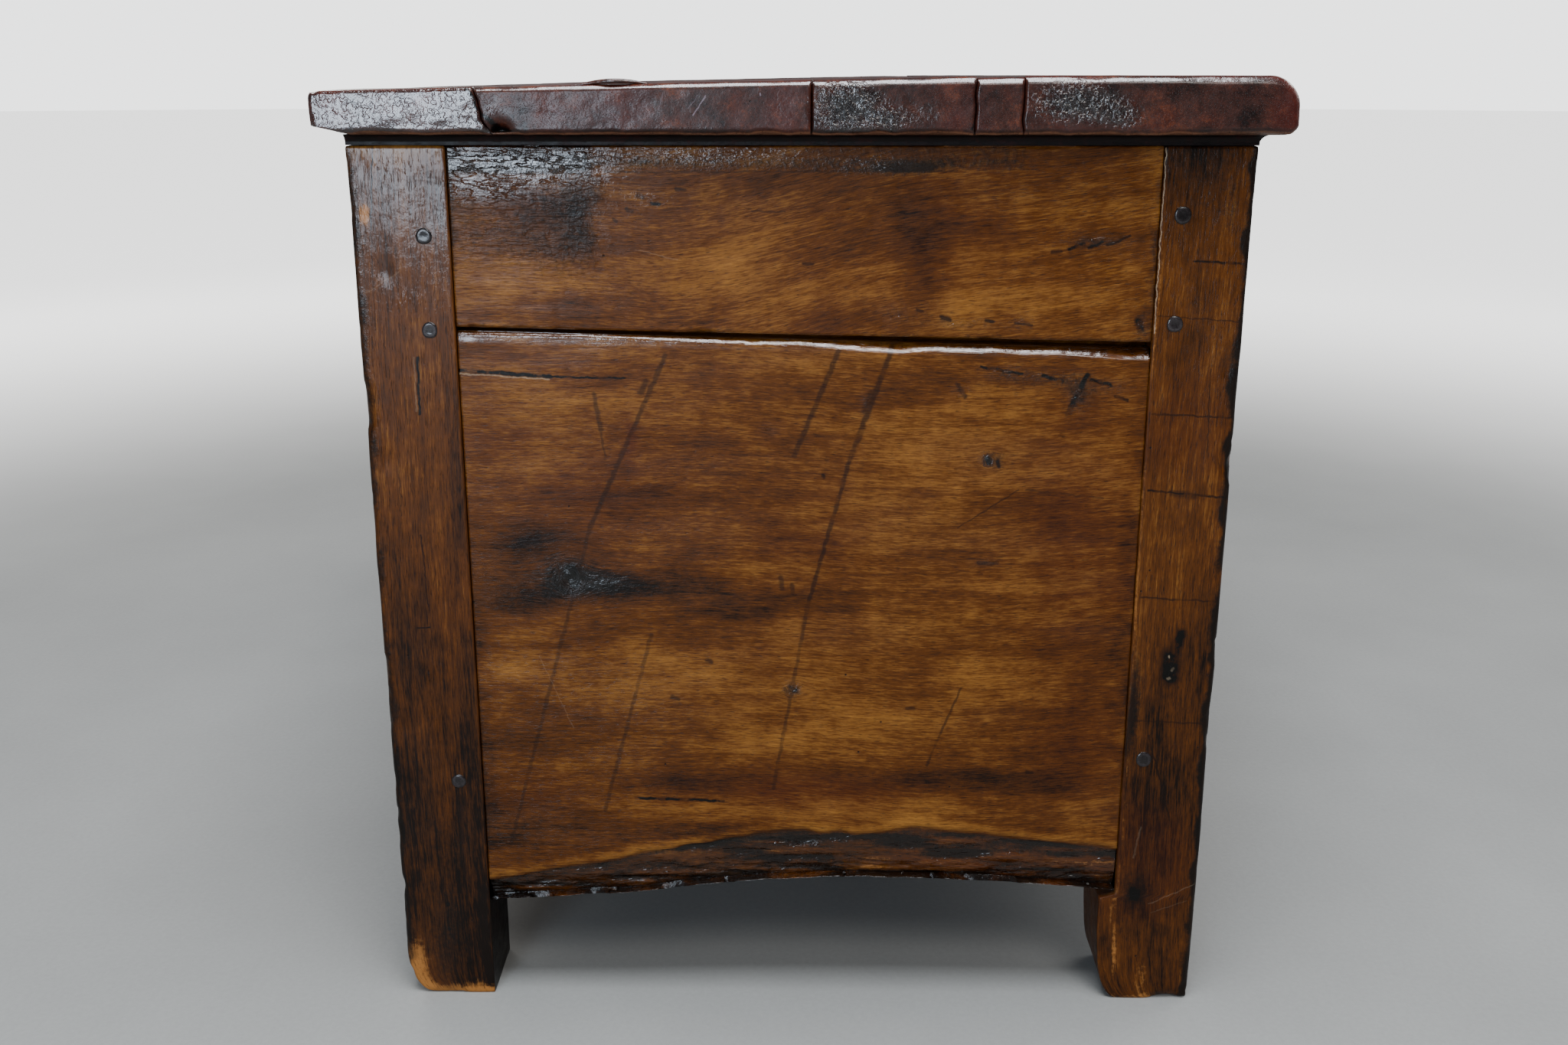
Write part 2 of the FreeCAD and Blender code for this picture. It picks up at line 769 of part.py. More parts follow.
def strap(length, place, thick_run):
    """Flat iron strap that tapers to a round tip, place(a, b) being its point a across and b along."""
    wide = strap_width / 2
    narrow = strap_tip_width / 2
    neck = length - narrow
    edges = lines(place(-narrow, neck), place(-wide, 0), place(wide, 0), place(narrow, neck))
    tip = Part.Arc(place(narrow, neck), place(0, length), place(-narrow, neck))
    return carry([*edges, tip], thick_run)


def knuckle(x0, x1):
    return rod(knuckle_radius, Vector(x0, hinge_axis_y, hinge_axis_z), Vector(x1 - x0, 0, 0))


def pin_bore(x):
    foot = Vector(x - strap_width, hinge_axis_y, hinge_axis_z)
    return rod(pin_radius + pin_fit, foot, Vector(strap_width * 2, 0, 0))


def lid_strap(x):
    """Strap under the lid, with the middle knuckle of the hinge on its cranked end."""
    z = lid_under_z - strap_thick
    half = strap_width / 6 - knuckle_side_gap / 2
    thick_run = Vector(0, 0, strap_thick)
    flat = strap(lid_strap_length, lambda a, b: Vector(x + a, back_face_y - b, z), thick_run)
    crank = block(x - half, x + half, back_face_y, hinge_axis_y, hinge_axis_z, lid_under_z)
    return flat.fuse([crank, knuckle(x - half, x + half)]).cut(pin_bore(x)).removeSplitter()


def back_strap(x):
    """Strap down the back of the case, with the two outer knuckles of the hinge."""
    half = strap_width / 2
    inner = strap_width / 6 + knuckle_side_gap / 2
    plate = strap(
        back_strap_length,
        lambda a, b: Vector(x + a, back_face_y, back_strap_z - b),
        Vector(0, strap_thick, 0),
    )
    window_z = hinge_axis_z - knuckle_radius - knuckle_gap
    window = block(x - inner, x + inner, back_face_y, hinge_axis_y, window_z, hinge_axis_z)
    knuckles = [knuckle(x - half, x - inner), knuckle(x + inner, x + half)]
    return plate.cut(window).fuse(knuckles).cut(pin_bore(x))


def hinge_pin(x):
    """Pin through the three knuckles, headed at both ends."""
    half = strap_width / 2
    left = Vector(x - half, hinge_axis_y, hinge_axis_z)
    right = Vector(x + half, hinge_axis_y, hinge_axis_z)
    heads = [
        rod(pin_head_radius, left, Vector(-pin_head_thick, 0, 0)),
        rod(pin_head_radius, right, Vector(pin_head_thick, 0, 0)),
    ]
    return rod(pin_radius, left, right - left).fuse(heads).removeSplitter()


def lid_strap_nails(x):
    z = lid_under_z - strap_thick
    places = [Vector(x, back_face_y - share * lid_strap_length, z) for share in lid_strap_nail_shares]
    return [nail(place, Vector(0, 0, 1)) for place in places]


def back_strap_nails(x):
    y = back_face_y + strap_thick
    places = [Vector(x, y, back_strap_z - share * back_strap_length) for share in back_strap_nail_shares]
    return [nail(place, Vector(0, -1, 0)) for place in places]


def staple():
    """Plate under the lid with the hanging eye that the bolt shoots through."""
    top = lid_under_z - strap_thick
    centre = top - staple_drop + staple_width / 2
    x = -staple_thick / 2

    def loop(radius, z_top):
        left = staple_y - radius
        right = staple_y + radius
        edges = lines(
            Vector(x, left, centre),
            Vector(x, left, z_top),
            Vector(x, right, z_top),
            Vector(x, right, centre),
        )
        low = Vector(x, staple_y, centre - radius)
        base = Part.Arc(Vector(x, right, centre), low, Vector(x, left, centre))
        return carry([*edges, base], Vector(staple_thick, 0, 0))

    eye = loop(staple_width / 2, top).cut(loop(staple_width / 2 - staple_bar, top - staple_bar / 2))
    half = staple_plate_length / 2
    depth = staple_plate_width / 2
    plate = block(-half, half, staple_y - depth, staple_y + depth, top, lid_under_z)
    return plate.fuse(eye).removeSplitter()


def staple_nails():
    x = staple_plate_length / 2 - nail_head
    z = lid_under_z - strap_thick
    return [nail(Vector(side * x, staple_y, z), Vector(0, 0, 1)) for side in (-1, 1)]


def keyhole(y0, y1):
    """Round hole with a slot below it, for a hollow key."""
    hole = rod(keyhole_radius, Vector(0, y0, keyhole_z), Vector(0, y1 - y0, 0))
    side = keyhole_slot_width / 2
    return hole.fuse(block(-side, side, y0, y1, keyhole_z, keyhole_z - keyhole_slot_length))


def bolt_guides():
    """Two upright lugs on the lock plate that the bolt slides through."""
    y0 = staple_y - bolt_thick / 2 - bolt_fit
    y1 = staple_y + bolt_thick / 2 + bolt_fit
    low = bolt_z - bolt_height / 2 - bolt_fit
    high = bolt_z + bolt_height / 2 + bolt_fit
    window = block(-half_length, half_length, y0, y1, low, high)
    top = lock_top_z - lock_wall - bolt_fit
    lugs = []
    for x in (bolt_end_x - guide_thick, bolt_end_x - bolt_length + bolt_travel):
        lug = block(x, x + guide_thick, lock_inner_y, y1 + guide_border, low - guide_border, top)
        lugs.append(lug.cut(window))
    return lugs


def lock_plate():
    """Plate on the inside of the front rail, pierced for the key."""
    half = lock_plate_width / 2
    z0 = lock_top_z - lock_plate_height
    plate = block(-half, half, front_inner_y, lock_inner_y, z0, lock_top_z)
    hole = keyhole(front_inner_y, lock_inner_y)
    return plate.fuse(bolt_guides()).cut(hole).removeSplitter()


def lock_case():
    """Box over the works, slotted above for the staple, with the pin that the key turns on."""
    side = lock_case_width / 2
    z0 = lock_top_z - lock_case_height
    shell = block(-side, side, lock_inner_y, lock_case_y, z0, lock_top_z)
    inside = block(
        lock_wall - side,
        side - lock_wall,
        lock_inner_y,
        lock_case_y - lock_wall,
        z0 + lock_wall,
        lock_top_z - lock_wall,
    )
    slot_x = staple_thick / 2 + staple_slot_gap
    slot_y = staple_width / 2 + staple_slot_gap
    slot_z = lock_top_z - lock_wall
    slot = block(-slot_x, slot_x, staple_y - slot_y, staple_y + slot_y, slot_z, lock_top_z)
    pin_run = Vector(0, lock_wall + key_pin_gap - lock_case_depth, 0)
    pin = rod(lock_pin_radius, Vector(0, lock_case_y - lock_wall, keyhole_z), pin_run)
    return cut_all(shell, [inside, slot]).fuse(pin).removeSplitter()


def lock_bolt():
    """Sliding bolt, drawn back clear of the staple, with the notch that the key turns in."""
    y = staple_y - bolt_thick / 2
    z = bolt_z - bolt_height / 2
    bolt = block(bolt_end_x - bolt_length, bolt_end_x, y, y + bolt_thick, z, z + bolt_height)
    notch_x = bolt_end_x - (bolt_length + bolt_notch) / 2
    notch = block(notch_x, notch_x + bolt_notch, y, y + bolt_thick, z, z + bolt_notch_depth)
    return bolt.cut(notch)


def lock_nails():
    x = (lock_plate_width + lock_case_width) / 4
    heights = (lock_top_z - lock_plate_height + nail_head, lock_top_z - nail_head)
    return [nail(Vector(side * x, lock_inner_y, z), Vector(0, -1, 0)) for side in (-1, 1) for z in heights]


def build():
    pieces = case()
    pieces.update(chest_floor())
    pieces["till_floor"] = cut_all(till_floor(), post_corners(floor_fit))
    pieces["till_side"] = till_side()
    pieces.update(lid_planks())
    pieces.update(mouldings())
    pieces["lid_strip_back"] = back_strip()
    up_nails = staple_nails()
    back_nails = []
    for name, x in (("left", -hinge_x), ("right", hinge_x)):
        up_nails += lid_strap_nails(x)
        back_nails += back_strap_nails(x)
        pieces[f"hinge_{name}_lid_strap"] = cut_all(lid_strap(x), lid_strap_nails(x))
        pieces[f"hinge_{name}_back_strap"] = cut_all(back_strap(x), back_strap_nails(x))
        pieces[f"hinge_{name}_pin"] = hinge_pin(x)
    pieces["lid_staple"] = cut_all(staple(), staple_nails())
    pieces["lid_iron_nails"] = Part.makeCompound(up_nails)
    pieces["back_strap_nails"] = Part.makeCompound(back_nails)
    pieces["lock_plate"] = cut_all(lock_plate(), lock_nails())
    pieces["lock_case"] = lock_case()
    pieces["lock_bolt"] = lock_bolt()
    pieces["lock_nails"] = Part.makeCompound(lock_nails())

    grooves = [till_floor(till_fit), till_side(till_fit)]
    front_cuts = [*grooves, *lock_nails(), keyhole(front_face_y, front_inner_y)]
    pieces["front_rail"] = cut_all(pieces["front_rail"], front_cuts)
    pieces["back_rail"] = cut_all(pieces["back_rail"], grooves + back_nails)
    pieces["back_board"] = cut_all(pieces["back_board"], back_nails)
    for name in lid_planks():
        pieces[name] = cut_all(pieces[name], up_nails)
    return pieces


os.makedirs("parts", exist_ok=True)
for node, shape in build().items():
    shape.exportStep(f"parts/{node}.step")
    state = "valid" if shape.isValid() else "NOT VALID"
    print(node, len(shape.Solids), "solids", round(shape.Volume), "mm3", state)
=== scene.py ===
# Old walnut chest with a hinged plank lid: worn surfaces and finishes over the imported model
import math

import bmesh
import bpy
import numpy as np
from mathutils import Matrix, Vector


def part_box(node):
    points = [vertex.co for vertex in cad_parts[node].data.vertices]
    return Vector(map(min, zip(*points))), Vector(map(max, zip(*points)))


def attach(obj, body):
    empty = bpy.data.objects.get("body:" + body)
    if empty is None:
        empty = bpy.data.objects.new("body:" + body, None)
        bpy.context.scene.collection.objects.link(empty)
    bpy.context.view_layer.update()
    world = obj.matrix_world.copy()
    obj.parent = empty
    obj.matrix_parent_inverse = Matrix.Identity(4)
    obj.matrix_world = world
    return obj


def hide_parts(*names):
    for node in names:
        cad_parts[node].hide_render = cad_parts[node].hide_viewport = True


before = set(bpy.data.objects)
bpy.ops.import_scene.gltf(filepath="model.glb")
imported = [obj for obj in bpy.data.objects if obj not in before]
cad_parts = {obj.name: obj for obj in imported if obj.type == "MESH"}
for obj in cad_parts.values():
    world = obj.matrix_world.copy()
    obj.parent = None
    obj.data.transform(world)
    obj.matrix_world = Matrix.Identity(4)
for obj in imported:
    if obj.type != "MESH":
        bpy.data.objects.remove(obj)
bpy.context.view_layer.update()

print("frame loaded:", len(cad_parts), "nodes")


# Places on the chest, in metres, read from the nodes

def nodeBox(node):
    low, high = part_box(node)
    return np.array(low), np.array(high)


postLow, postHigh = nodeBox("post_back_left")
endX, backY, caseTop = -postLow[0], postHigh[1], postHigh[2]
frontY = nodeBox("post_front_left")[0][1]
lidEndX = -nodeBox("lid_plank_back")[0][0]

joinery = {
    "postWidth": postHigh[0] - postLow[0],
    "frontPostDepth": 0.055,
    "backPostDepth": 0.060,
    "shoulderGap": 0.0004,
    "lapHeight": 0.022,
    "lapThick": 0.012,
}
frontInnerY = frontY + joinery["frontPostDepth"]
backInnerY = backY - joinery["backPostDepth"]
postInnerX = endX - joinery["postWidth"]


# Noise, worked out for whole arrays of points at once

noiseKeys = np.array([73856093, 19349663, 83492791])


# Random values on a lattice of cells, blended across each cell by 3t^2 - 2t^3
def cellNoise(points, cell, seed):
    scaled = points / np.asarray(cell, float)
    corner = np.floor(scaled).astype(np.int64)
    t = scaled - corner
    t = t * t * (3 - 2 * t)
    total = np.zeros(len(points))
    for step in np.ndindex(2, 2, 2):
        key = ((corner + step) @ noiseKeys + seed * 7919) & 0xFFFFFFFF
        key = ((key ^ (key >> 15)) * 2246822519) & 0xFFFFFFFF
        key = ((key ^ (key >> 13)) * 3266489917) & 0xFFFFFFFF
        value = ((key ^ (key >> 16)) & 0xFFFF) / 32767.5 - 1
        total += value * np.prod(np.where(step, t, 1 - t), axis=1)
    return total


# Sum of noises whose cells halve and whose heights fall by 0.55 each time
def layeredNoise(points, cell, seed, layers=3):
    total, height = np.zeros(len(points)), 1.0
    for layer in range(layers):
        total += height * cellNoise(points, np.asarray(cell, float) / 2 ** layer, seed + layer)
        height *= 0.55
    return total


# 0 below the low value, 1 above the high one, and 3t^2 - 2t^3 between
def smooth(value, low, high):
    t = np.clip((value - low) / (high - low), 0, 1)
    return t * t * (3 - 2 * t)


# Soft spots on a face: each (y, z, reach in y, reach in z, amount) adds amount * exp(-distance^2)
def softSpots(y, z, spots):
    total = np.zeros(len(y))
    for spotY, spotZ, reachY, reachZ, amount in spots:
        total += amount * np.exp(-((y - spotY) / reachY) ** 2 - ((z - spotZ) / reachZ) ** 2)
    return total


# Surfaces

# Evenly ruled lines from low to high, closer together within a band at both ends
def ruled(low, high, step, band=0.0, bandStep=0.001):
    if band == 0 or high - low < band * 2.5:
        return np.linspace(low, high, max(3, int((high - low) / min(step, bandStep * 2)) + 1))
    edge = np.arange(0, band, bandStep)
    middle = np.linspace(low + band, high - band, max(2, int((high - low - band * 2) / step) + 1))
    return np.concatenate([low + edge, middle, (high - edge)[::-1]])


# The six sides of a box, each a grid of two parameters, welded where they meet
def gridBlock(lines):
    counts = [len(line) for line in lines]
    strides = [counts[1] * counts[2], counts[2], 1]
    quads = []
    for axis in range(3):
        u, v = (axis + 1) % 3, (axis + 2) % 3
        i, j = np.meshgrid(np.arange(counts[u]), np.arange(counts[v]), indexing="ij")
        for end in (0, counts[axis] - 1):
            code = end * strides[axis] + i * strides[u] + j * strides[v]
            quad = np.stack([code[:-1, :-1], code[1:, :-1], code[1:, 1:], code[:-1, 1:]], -1)
            quads.append((quad if end else quad[..., ::-1]).reshape(-1, 4))
    used, faces = np.unique(np.concatenate(quads), return_inverse=True)
    index = np.unravel_index(used, counts)
    points = np.stack([line[place] for line, place in zip(lines, index)], -1)
    return points, faces.reshape(-1, 4)


# Box with eased arrises: a point is pulled into the box shrunk by its radii, then pushed out by them.
# The push is d / (|x|^p + |y|^p + |z|^p)^(1/p): round at p = 2, a worn flat nearer p = 1.
# With long arrises left square, the larger of y and z stands for both
def roundArrises(points, radius, power=2.0, squareLong=False):
    low, high = points.min(0), points.max(0)
    reach = np.minimum(radius if radius.ndim == 2 else radius[:, None], (high - low).min() * 0.45)
    core = np.clip(points, low + reach, high - reach)
    away = (points - core) / reach
    x, y, z = (np.abs(away) ** power).T[:, :, None]
    size = (x + (np.maximum(y, z) if squareLong else y + z)) ** (1 / power)
    normal = away / np.maximum(np.linalg.norm(away, axis=1, keepdims=True), 1e-9)
    return core + away / np.maximum(size, 1e-9) * reach, normal


# Faces between rings of points that follow each other, each ring closed on itself
def ringQuads(rings, count):
    i, j = np.meshgrid(np.arange(rings - 1) * count, np.arange(count), indexing="ij")
    beside = (j + 1) % count
    return np.stack([i + j, i + count + j, i + count + beside, i + beside], -1).reshape(-1, 4)


def addObject(name, data):
    added = bpy.data.objects.new(name, data)
    bpy.context.scene.collection.objects.link(added)
    return added


def addMesh(name, points, faces):
    mesh = bpy.data.meshes.new(name)
    mesh.from_pydata(points.tolist(), [], faces)
    return addObject(name, mesh)


# A piece of the chest with one value, or one vector, per point for each mark that its finish reads
def makePiece(name, points, faces, body, nodes, finish, marks):
    piece = addMesh(name, points, faces.tolist())
    mesh = piece.data
    mesh.shade_smooth()
    for label, values in marks.items():
        kind, field = ("FLOAT_VECTOR", "vector") if values.ndim == 2 else ("FLOAT", "value")
        mesh.attributes.new(label, kind, "POINT").data.foreach_set(field, values.ravel())
    mesh.materials.append(finish)
    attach(piece, body)
    if nodes:
        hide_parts(*nodes)
    return piece


# Node materials

class Wiring:
    # Nodes of one tree, added and wired with short calls
    def __init__(self, tree):
        self.tree = tree

    def plug(self, socket, value):
        if isinstance(value, bpy.types.NodeSocket):
            self.tree.links.new(value, socket)
        else:
            socket.default_value = value

    def add(self, kind, output=0, inputs=(), **settings):
        node = self.tree.nodes.new("ShaderNode" + kind)
        for key, value in settings.items():
            setattr(node, key, value)
        for key, value in dict(inputs).items():
            self.plug(node.inputs[key], value)
        return node.outputs[output]

    def math(self, operation, a, b=0.0, c=0.0, clamp=False):
        return self.add("Math", 0, {0: a, 1: b, 2: c}, operation=operation, use_clamp=clamp)

    def vectors(self, operation, a, b=(0, 0, 0), output=0):
        return self.add("VectorMath", output, {0: a, 1: b}, operation=operation)

    def between(self, value, low, high, floor=0.0):
        spans = {"Value": value, "From Min": low, "From Max": high, "To Min": floor}
        return self.add("MapRange", 0, spans, interpolation_type="SMOOTHSTEP")

    def sway(self, layer, share, base):
        # Base plus a share of how far a layer is from its middle: base + (layer - 0.5) * share
        return self.math("MULTIPLY_ADD", self.math("SUBTRACT", layer, 0.5), share, base)


class Finish(Wiring):
    # A material and the wiring of its nodes
    def __init__(self, name):
        self.material = bpy.data.materials.new(name)
        self.material.use_nodes = True
        super().__init__(self.material.node_tree)

    def blend(self, amount, first, second):
        # RGBA mix sockets: 0 factor, 6 and 7 colours, output 2
        return self.add("Mix", 2, {0: amount, 6: first, 7: second}, data_type="RGBA")

    def noise(self, vector, scale, detail=2.0, rough=0.5, warp=0.0):
        inputs = {"Vector": vector, "Scale": scale, "Detail": detail, "Roughness": rough, "Distortion": warp}
        return self.add("TexNoise", 0, inputs)

    def attribute(self, name, vector=False):
        return self.add("Attribute", 1 if vector else 2, attribute_name=name)

    def close(self, sockets):
        shader = self.tree.nodes["Principled BSDF"]
        for name, value in sockets.items():
            self.plug(shader.inputs[name], value)
        return self.material


def rgb(red, green, blue):
    # Colour given as 0 to 255 display values, turned to the linear values that a shader takes
    return (*[((v / 255 + 0.055) / 1.055) ** 2.4 if v > 10 else v / 3294 for v in (red, green, blue)], 1)


# Distance from a point to a line between two places, as a dark mark of a set half width
def markGroup():
    group = bpy.data.node_groups.new("mark_along_line", "ShaderNodeTree")
    kinds = {"Point": "Vector", "From": "Vector", "To": "Vector", "Half width": "Float", "Amount": "Float"}
    for name, kind in kinds.items():
        group.interface.new_socket(name, in_out="INPUT", socket_type="NodeSocket" + kind)
    group.interface.new_socket("Mark", in_out="OUTPUT", socket_type="NodeSocketFloat")
    start, end = group.nodes.new("NodeGroupInput").outputs, group.nodes.new("NodeGroupOutput").inputs
    made = Wiring(group)
    run = made.vectors("SUBTRACT", start["To"], start["From"])
    reach = made.vectors("SUBTRACT", start["Point"], start["From"])
    along = made.vectors("DOT_PRODUCT", reach, run, output=1)
    whole = made.vectors("DOT_PRODUCT", run, run, output=1)
    share = made.math("DIVIDE", along, whole, clamp=True)
    nearest = made.add("VectorMath", 0, {0: run, "Scale": share}, operation="SCALE")
    away = made.vectors("DISTANCE", reach, nearest, output=1)
    inside = made.between(made.math("DIVIDE", away, start["Half width"]), 1.25, 0.35)
    made.plug(end["Mark"], made.math("MULTIPLY", inside, start["Amount"]))
    return group


lineMark = markGroup()


# Metres to a mark's mm of half width: a little over a thousandth, because the soft edge eats into a mark
markSpread = 0.00125


# Strongest of the marks at a point; each mark is (y, z, y, z, half width in mm, amount)
def drawMarks(finish, flatPoint, marks):
    total = None
    for y0, z0, y1, z1, halfWidth, amount in marks:
        line = {"Point": flatPoint, "From": (0, y0, z0), "To": (0, y1, z1 + 1e-5)}
        line.update({"Half width": halfWidth * markSpread, "Amount": amount})
        mark = finish.add("Group", 0, line, node_tree=lineMark)
        total = mark if total is None else finish.math("MAXIMUM", total, mark)
    return total


# "Long" and "Fine" are the scales of a layer along and across the grain, "Share" its part in the colour
waxedWood = {
    "dark": rgb(16, 7, 3), "middle": rgb(84, 44, 8), "light": rgb(147, 98, 40),
    "darkAt": 0.27, "lightAt": 0.8,
    "grimeAndShade": rgb(9, 7, 5), "grimeAndShadeShare": 0.93,
    "stain": rgb(24, 10, 4), "poreShare": 0.6,
    "red": rgb(66, 20, 8), "redShare": 0.75,
    "bare": rgb(156, 102, 48), "scratchAndGlint": rgb(200, 176, 146),
    "dryDark": rgb(98, 70, 46), "dryLight": rgb(140, 106, 72),
    "fleckLong": 160.0, "fleckFine": 1300.0, "fleckShare": 0.42,
    "fibreLong": 38.0, "fibreFine": 600.0, "fibreShare": 0.38,
    "cloudLong": 15.0, "cloudFine": 40.0, "cloudShare": 0.40,
    "poreLong": 170.0, "poreFine": 1500.0,
    "mottle": 95.0, "mottleShare": 0.16,
    "specks": 320.0,
    "worms": 55.0, "wormShare": 0.9,
    "shiver": 190.0, "shiverReach": 0.0028,
    "blisterLong": 90.0, "blisterFine": 300.0, "blisterHeight": 1.5,
    "bump": 0.35, "bumpReach": 0.0006,
    "gloss": 0.38, "shine": 0.13,
    "wax": 0.05, "waxRoughness": 0.10, "waxGloss": 1.55,
}


# Wood: flecks, fibres, pores and clouds along the grain set the colour, and dirt with some painted shade,
# bare wood, red stain, dark line marks and pale marks, some of them painted glints, from the piece are laid
# over it
def woodFinish(name, look, marks=(), scratchesAndGlints=(), along=None):
    made = Finish(name)
    place = made.add("TexCoord", 3)
    if along is None:
        grain = made.attribute("grain", vector=True)
    else:
        turn = {"x": 0, "y": -math.pi / 2}[along]
        grain = made.add("Mapping", 0, {"Vector": place, "Rotation": (0, 0, turn)})
    labels = ("tone", "grimeAndShade", "polish", "bare", "red", "crackle", "dry")
    tone, grimeAndShade, polish, bare, red, crackle, dry = [made.attribute(label) for label in labels]

    def alongGrain(kind, detail=2.0, rough=0.5, warp=0.0):
        long, fine = look[kind + "Long"], look[kind + "Fine"]
        stretched = made.add("Mapping", 0, {"Vector": grain, "Scale": (long, fine, fine)})
        return made.noise(stretched, 1, detail, rough, warp)

    flecks = alongGrain("fleck", 3, 0.6)
    fibres = alongGrain("fibre", 4, 0.65, 0.3)
    clouds = alongGrain("cloud", 3, 0.55, 0.5)
    pores = alongGrain("pore", 1)
    mottle = made.noise(place, look["mottle"], 4, 0.6)

    level = tone
    for layer, kind in ((flecks, "fleck"), (fibres, "fibre"), (clouds, "cloud"), (mottle, "mottle")):
        level = made.sway(layer, look[kind + "Share"], level)
    level = made.math("ADD", level, 0.5)
    ramp = made.add("ValToRGB", 0, {0: level})
    stops = ramp.node.color_ramp.elements
    stops[0].position, stops[0].color = look["darkAt"], look["dark"]
    stops[1].position, stops[1].color = look["lightAt"], look["light"]
    stops.new(0.5).color = look["middle"]

    colour = made.blend(made.math("MULTIPLY", red, look["redShare"]), ramp, look["red"])
    specks = made.noise(place, look["specks"], 3, 0.7)
    bareMask = made.between(made.sway(specks, 0.9, made.sway(fibres, 0.9, bare)), 0.32, 0.85)
    colour = made.blend(bareMask, colour, look["bare"])
    dryTone = made.between(level, 0.36, 0.64)
    colour = made.blend(dry, colour, made.blend(dryTone, look["dryDark"], look["dryLight"]))
    poreMask = made.between(pores, 0.60, 0.72)
    colour = made.blend(made.math("MULTIPLY", poreMask, look["poreShare"]), colour, look["stain"])
    grimeAndShadeEdge = made.sway(fibres, 0.5, made.sway(mottle, 0.3, made.sway(specks, 1.1, grimeAndShade)))
    grimeAndShadeMask = made.between(grimeAndShadeEdge, 0.1, 1.0)
    colour = made.blend(made.math("MULTIPLY", grimeAndShadeMask, look["grimeAndShadeShare"]), colour, look["grimeAndShade"])

    worms = made.add("TexVoronoi", 0, {"Vector": place, "Scale": look["worms"]})
    wormPick = made.noise(place, 23, 1)
    wormMask = made.math("MULTIPLY", made.between(worms, 0.05, 0.025), made.between(wormPick, 0.56, 0.6))
    colour = made.blend(made.math("MULTIPLY", wormMask, look["wormShare"]), colour, look["grimeAndShade"])

    if marks:
        flat = made.vectors("MULTIPLY", place, (0, 1, 1))
        shiver = made.add("TexNoise", 1, {"Vector": place, "Scale": look["shiver"], "Detail": 3.0})
        shiver = made.vectors("SUBTRACT", shiver, (0.5, 0.5, 0.5))
        shiver = made.vectors("MULTIPLY", shiver, (0, look["shiverReach"], look["shiverReach"]))
        ragged = made.vectors("ADD", flat, shiver)
        onEnd = made.attribute("onEnd")
        drawn = made.math("MULTIPLY", drawMarks(made, ragged, marks), onEnd)
        broken = made.math("MULTIPLY", drawn, made.between(mottle, 0.3, 0.52, 0.35))
        colour = made.blend(broken, colour, look["stain"])
        colour = made.blend(made.between(broken, 0.72, 0.95), colour, look["grimeAndShade"])
        if scratchesAndGlints:
            # Pale marks: scratches, and also painted glints and highlights where the piece lists them
            pale = made.math("MULTIPLY", drawMarks(made, ragged, scratchesAndGlints), onEnd)
            colour = made.blend(made.math("MULTIPLY", pale, specks), colour, look["scratchAndGlint"])

    height = made.math("MULTIPLY_ADD", poreMask, -0.35, made.math("MULTIPLY", fibres, 0.45))
    height = made.math("MULTIPLY_ADD", mottle, 0.8, height)
    height = made.math("SUBTRACT", height, wormMask)
    blisters = made.between(alongGrain("blister", 2, 0.55), 0.46, 0.60)
    rough = made.math("MULTIPLY", made.math("MULTIPLY", blisters, crackle), look["blisterHeight"])
    height = made.math("ADD", height, rough)
    height = made.math("MULTIPLY_ADD", made.math("MULTIPLY", specks, grimeAndShadeMask), 1.2, height)
    bump = made.add("Bump", 0, {"Height": height, "Strength": look["bump"], "Distance": look["bumpReach"]})

    dull = made.sway(mottle, 0.35, made.math("MULTIPLY_ADD", bareMask, 0.22, look["gloss"]))
    dull = made.math("MULTIPLY_ADD", grimeAndShadeMask, 0.05, dull)
    dull = made.math("MULTIPLY_ADD", crackle, -0.10, dull)
    dull = made.math("MULTIPLY_ADD", polish, -0.12, dull)
    dull = made.math("MULTIPLY_ADD", dry, 0.3, dull, clamp=True)
    return made.close({
        "Base Color": colour, "Roughness": dull, "Specular IOR Level": look["shine"],
        "Normal": bump, "Coat Normal": bump,
        "Coat Weight": made.math("ADD", polish, look["wax"], clamp=True),
        "Coat Roughness": look["waxRoughness"], "Coat IOR": look["waxGloss"],
    })


# Corner posts

postLook = {
    "step": 0.0028, "edgeStep": 0.0012, "edgeBand": 0.010,
    "crispArris": 0.0009, "wornArris": 0.0032, "chipDepth": 0.0055,
    "waver": 0.0005, "ragged": {"front": 1.0, "back": 0.75}, "edgeDirt": {"front": 1.3, "back": 0.7},
    "hiddenCoarse": 1.35,
    "backFootReachY": 0.017, "backFootReachZ": 0.034,
    "frontFootSpread": 0.0105, "frontFootTop": 0.080, "frontFootTaper": 0.060, "frontFootRound": 0.028,
    "topEdge": 0.0012,
}

# Dark line marks on the photographed end, in metres on the end face
backPostMarks = [
    (0.2545, 0.573, 0.2595, 0.524, 0.45, 0.9), (0.2595, 0.524, 0.2603, 0.488, 0.3, 0.6),
    (0.2363, 0.446, 0.2371, 0.411, 0.9, 0.95), (0.2415, 0.332, 0.24, 0.28, 0.5, 0.8),
    (0.248, 0.2697, 0.2405, 0.2697, 0.6, 0.9), (0.2281, 0.15, 0.2275, 0.116, 1.6, 0.75),
    (0.2408, 0.0694, 0.2406, 0.068, 1.6, 1.0), (0.2403, 0.0517, 0.2403, 0.05, 1.5, 1.0),
    (0.252, 0.405, 0.2535, 0.345, 0.35, 0.6), (0.22, 0.395, 0.2195, 0.3, 0.4, 0.5),
    (0.256, 0.23, 0.2545, 0.175, 0.5, 0.6), (0.223, 0.262, 0.2235, 0.19, 0.35, 0.5),
]
backPostScratches = [
    (0.2442, 0.4988, 0.2663, 0.4849, 0.4, 0.14), (0.2385, 0.446, 0.2392, 0.413, 0.5, 0.15),
]
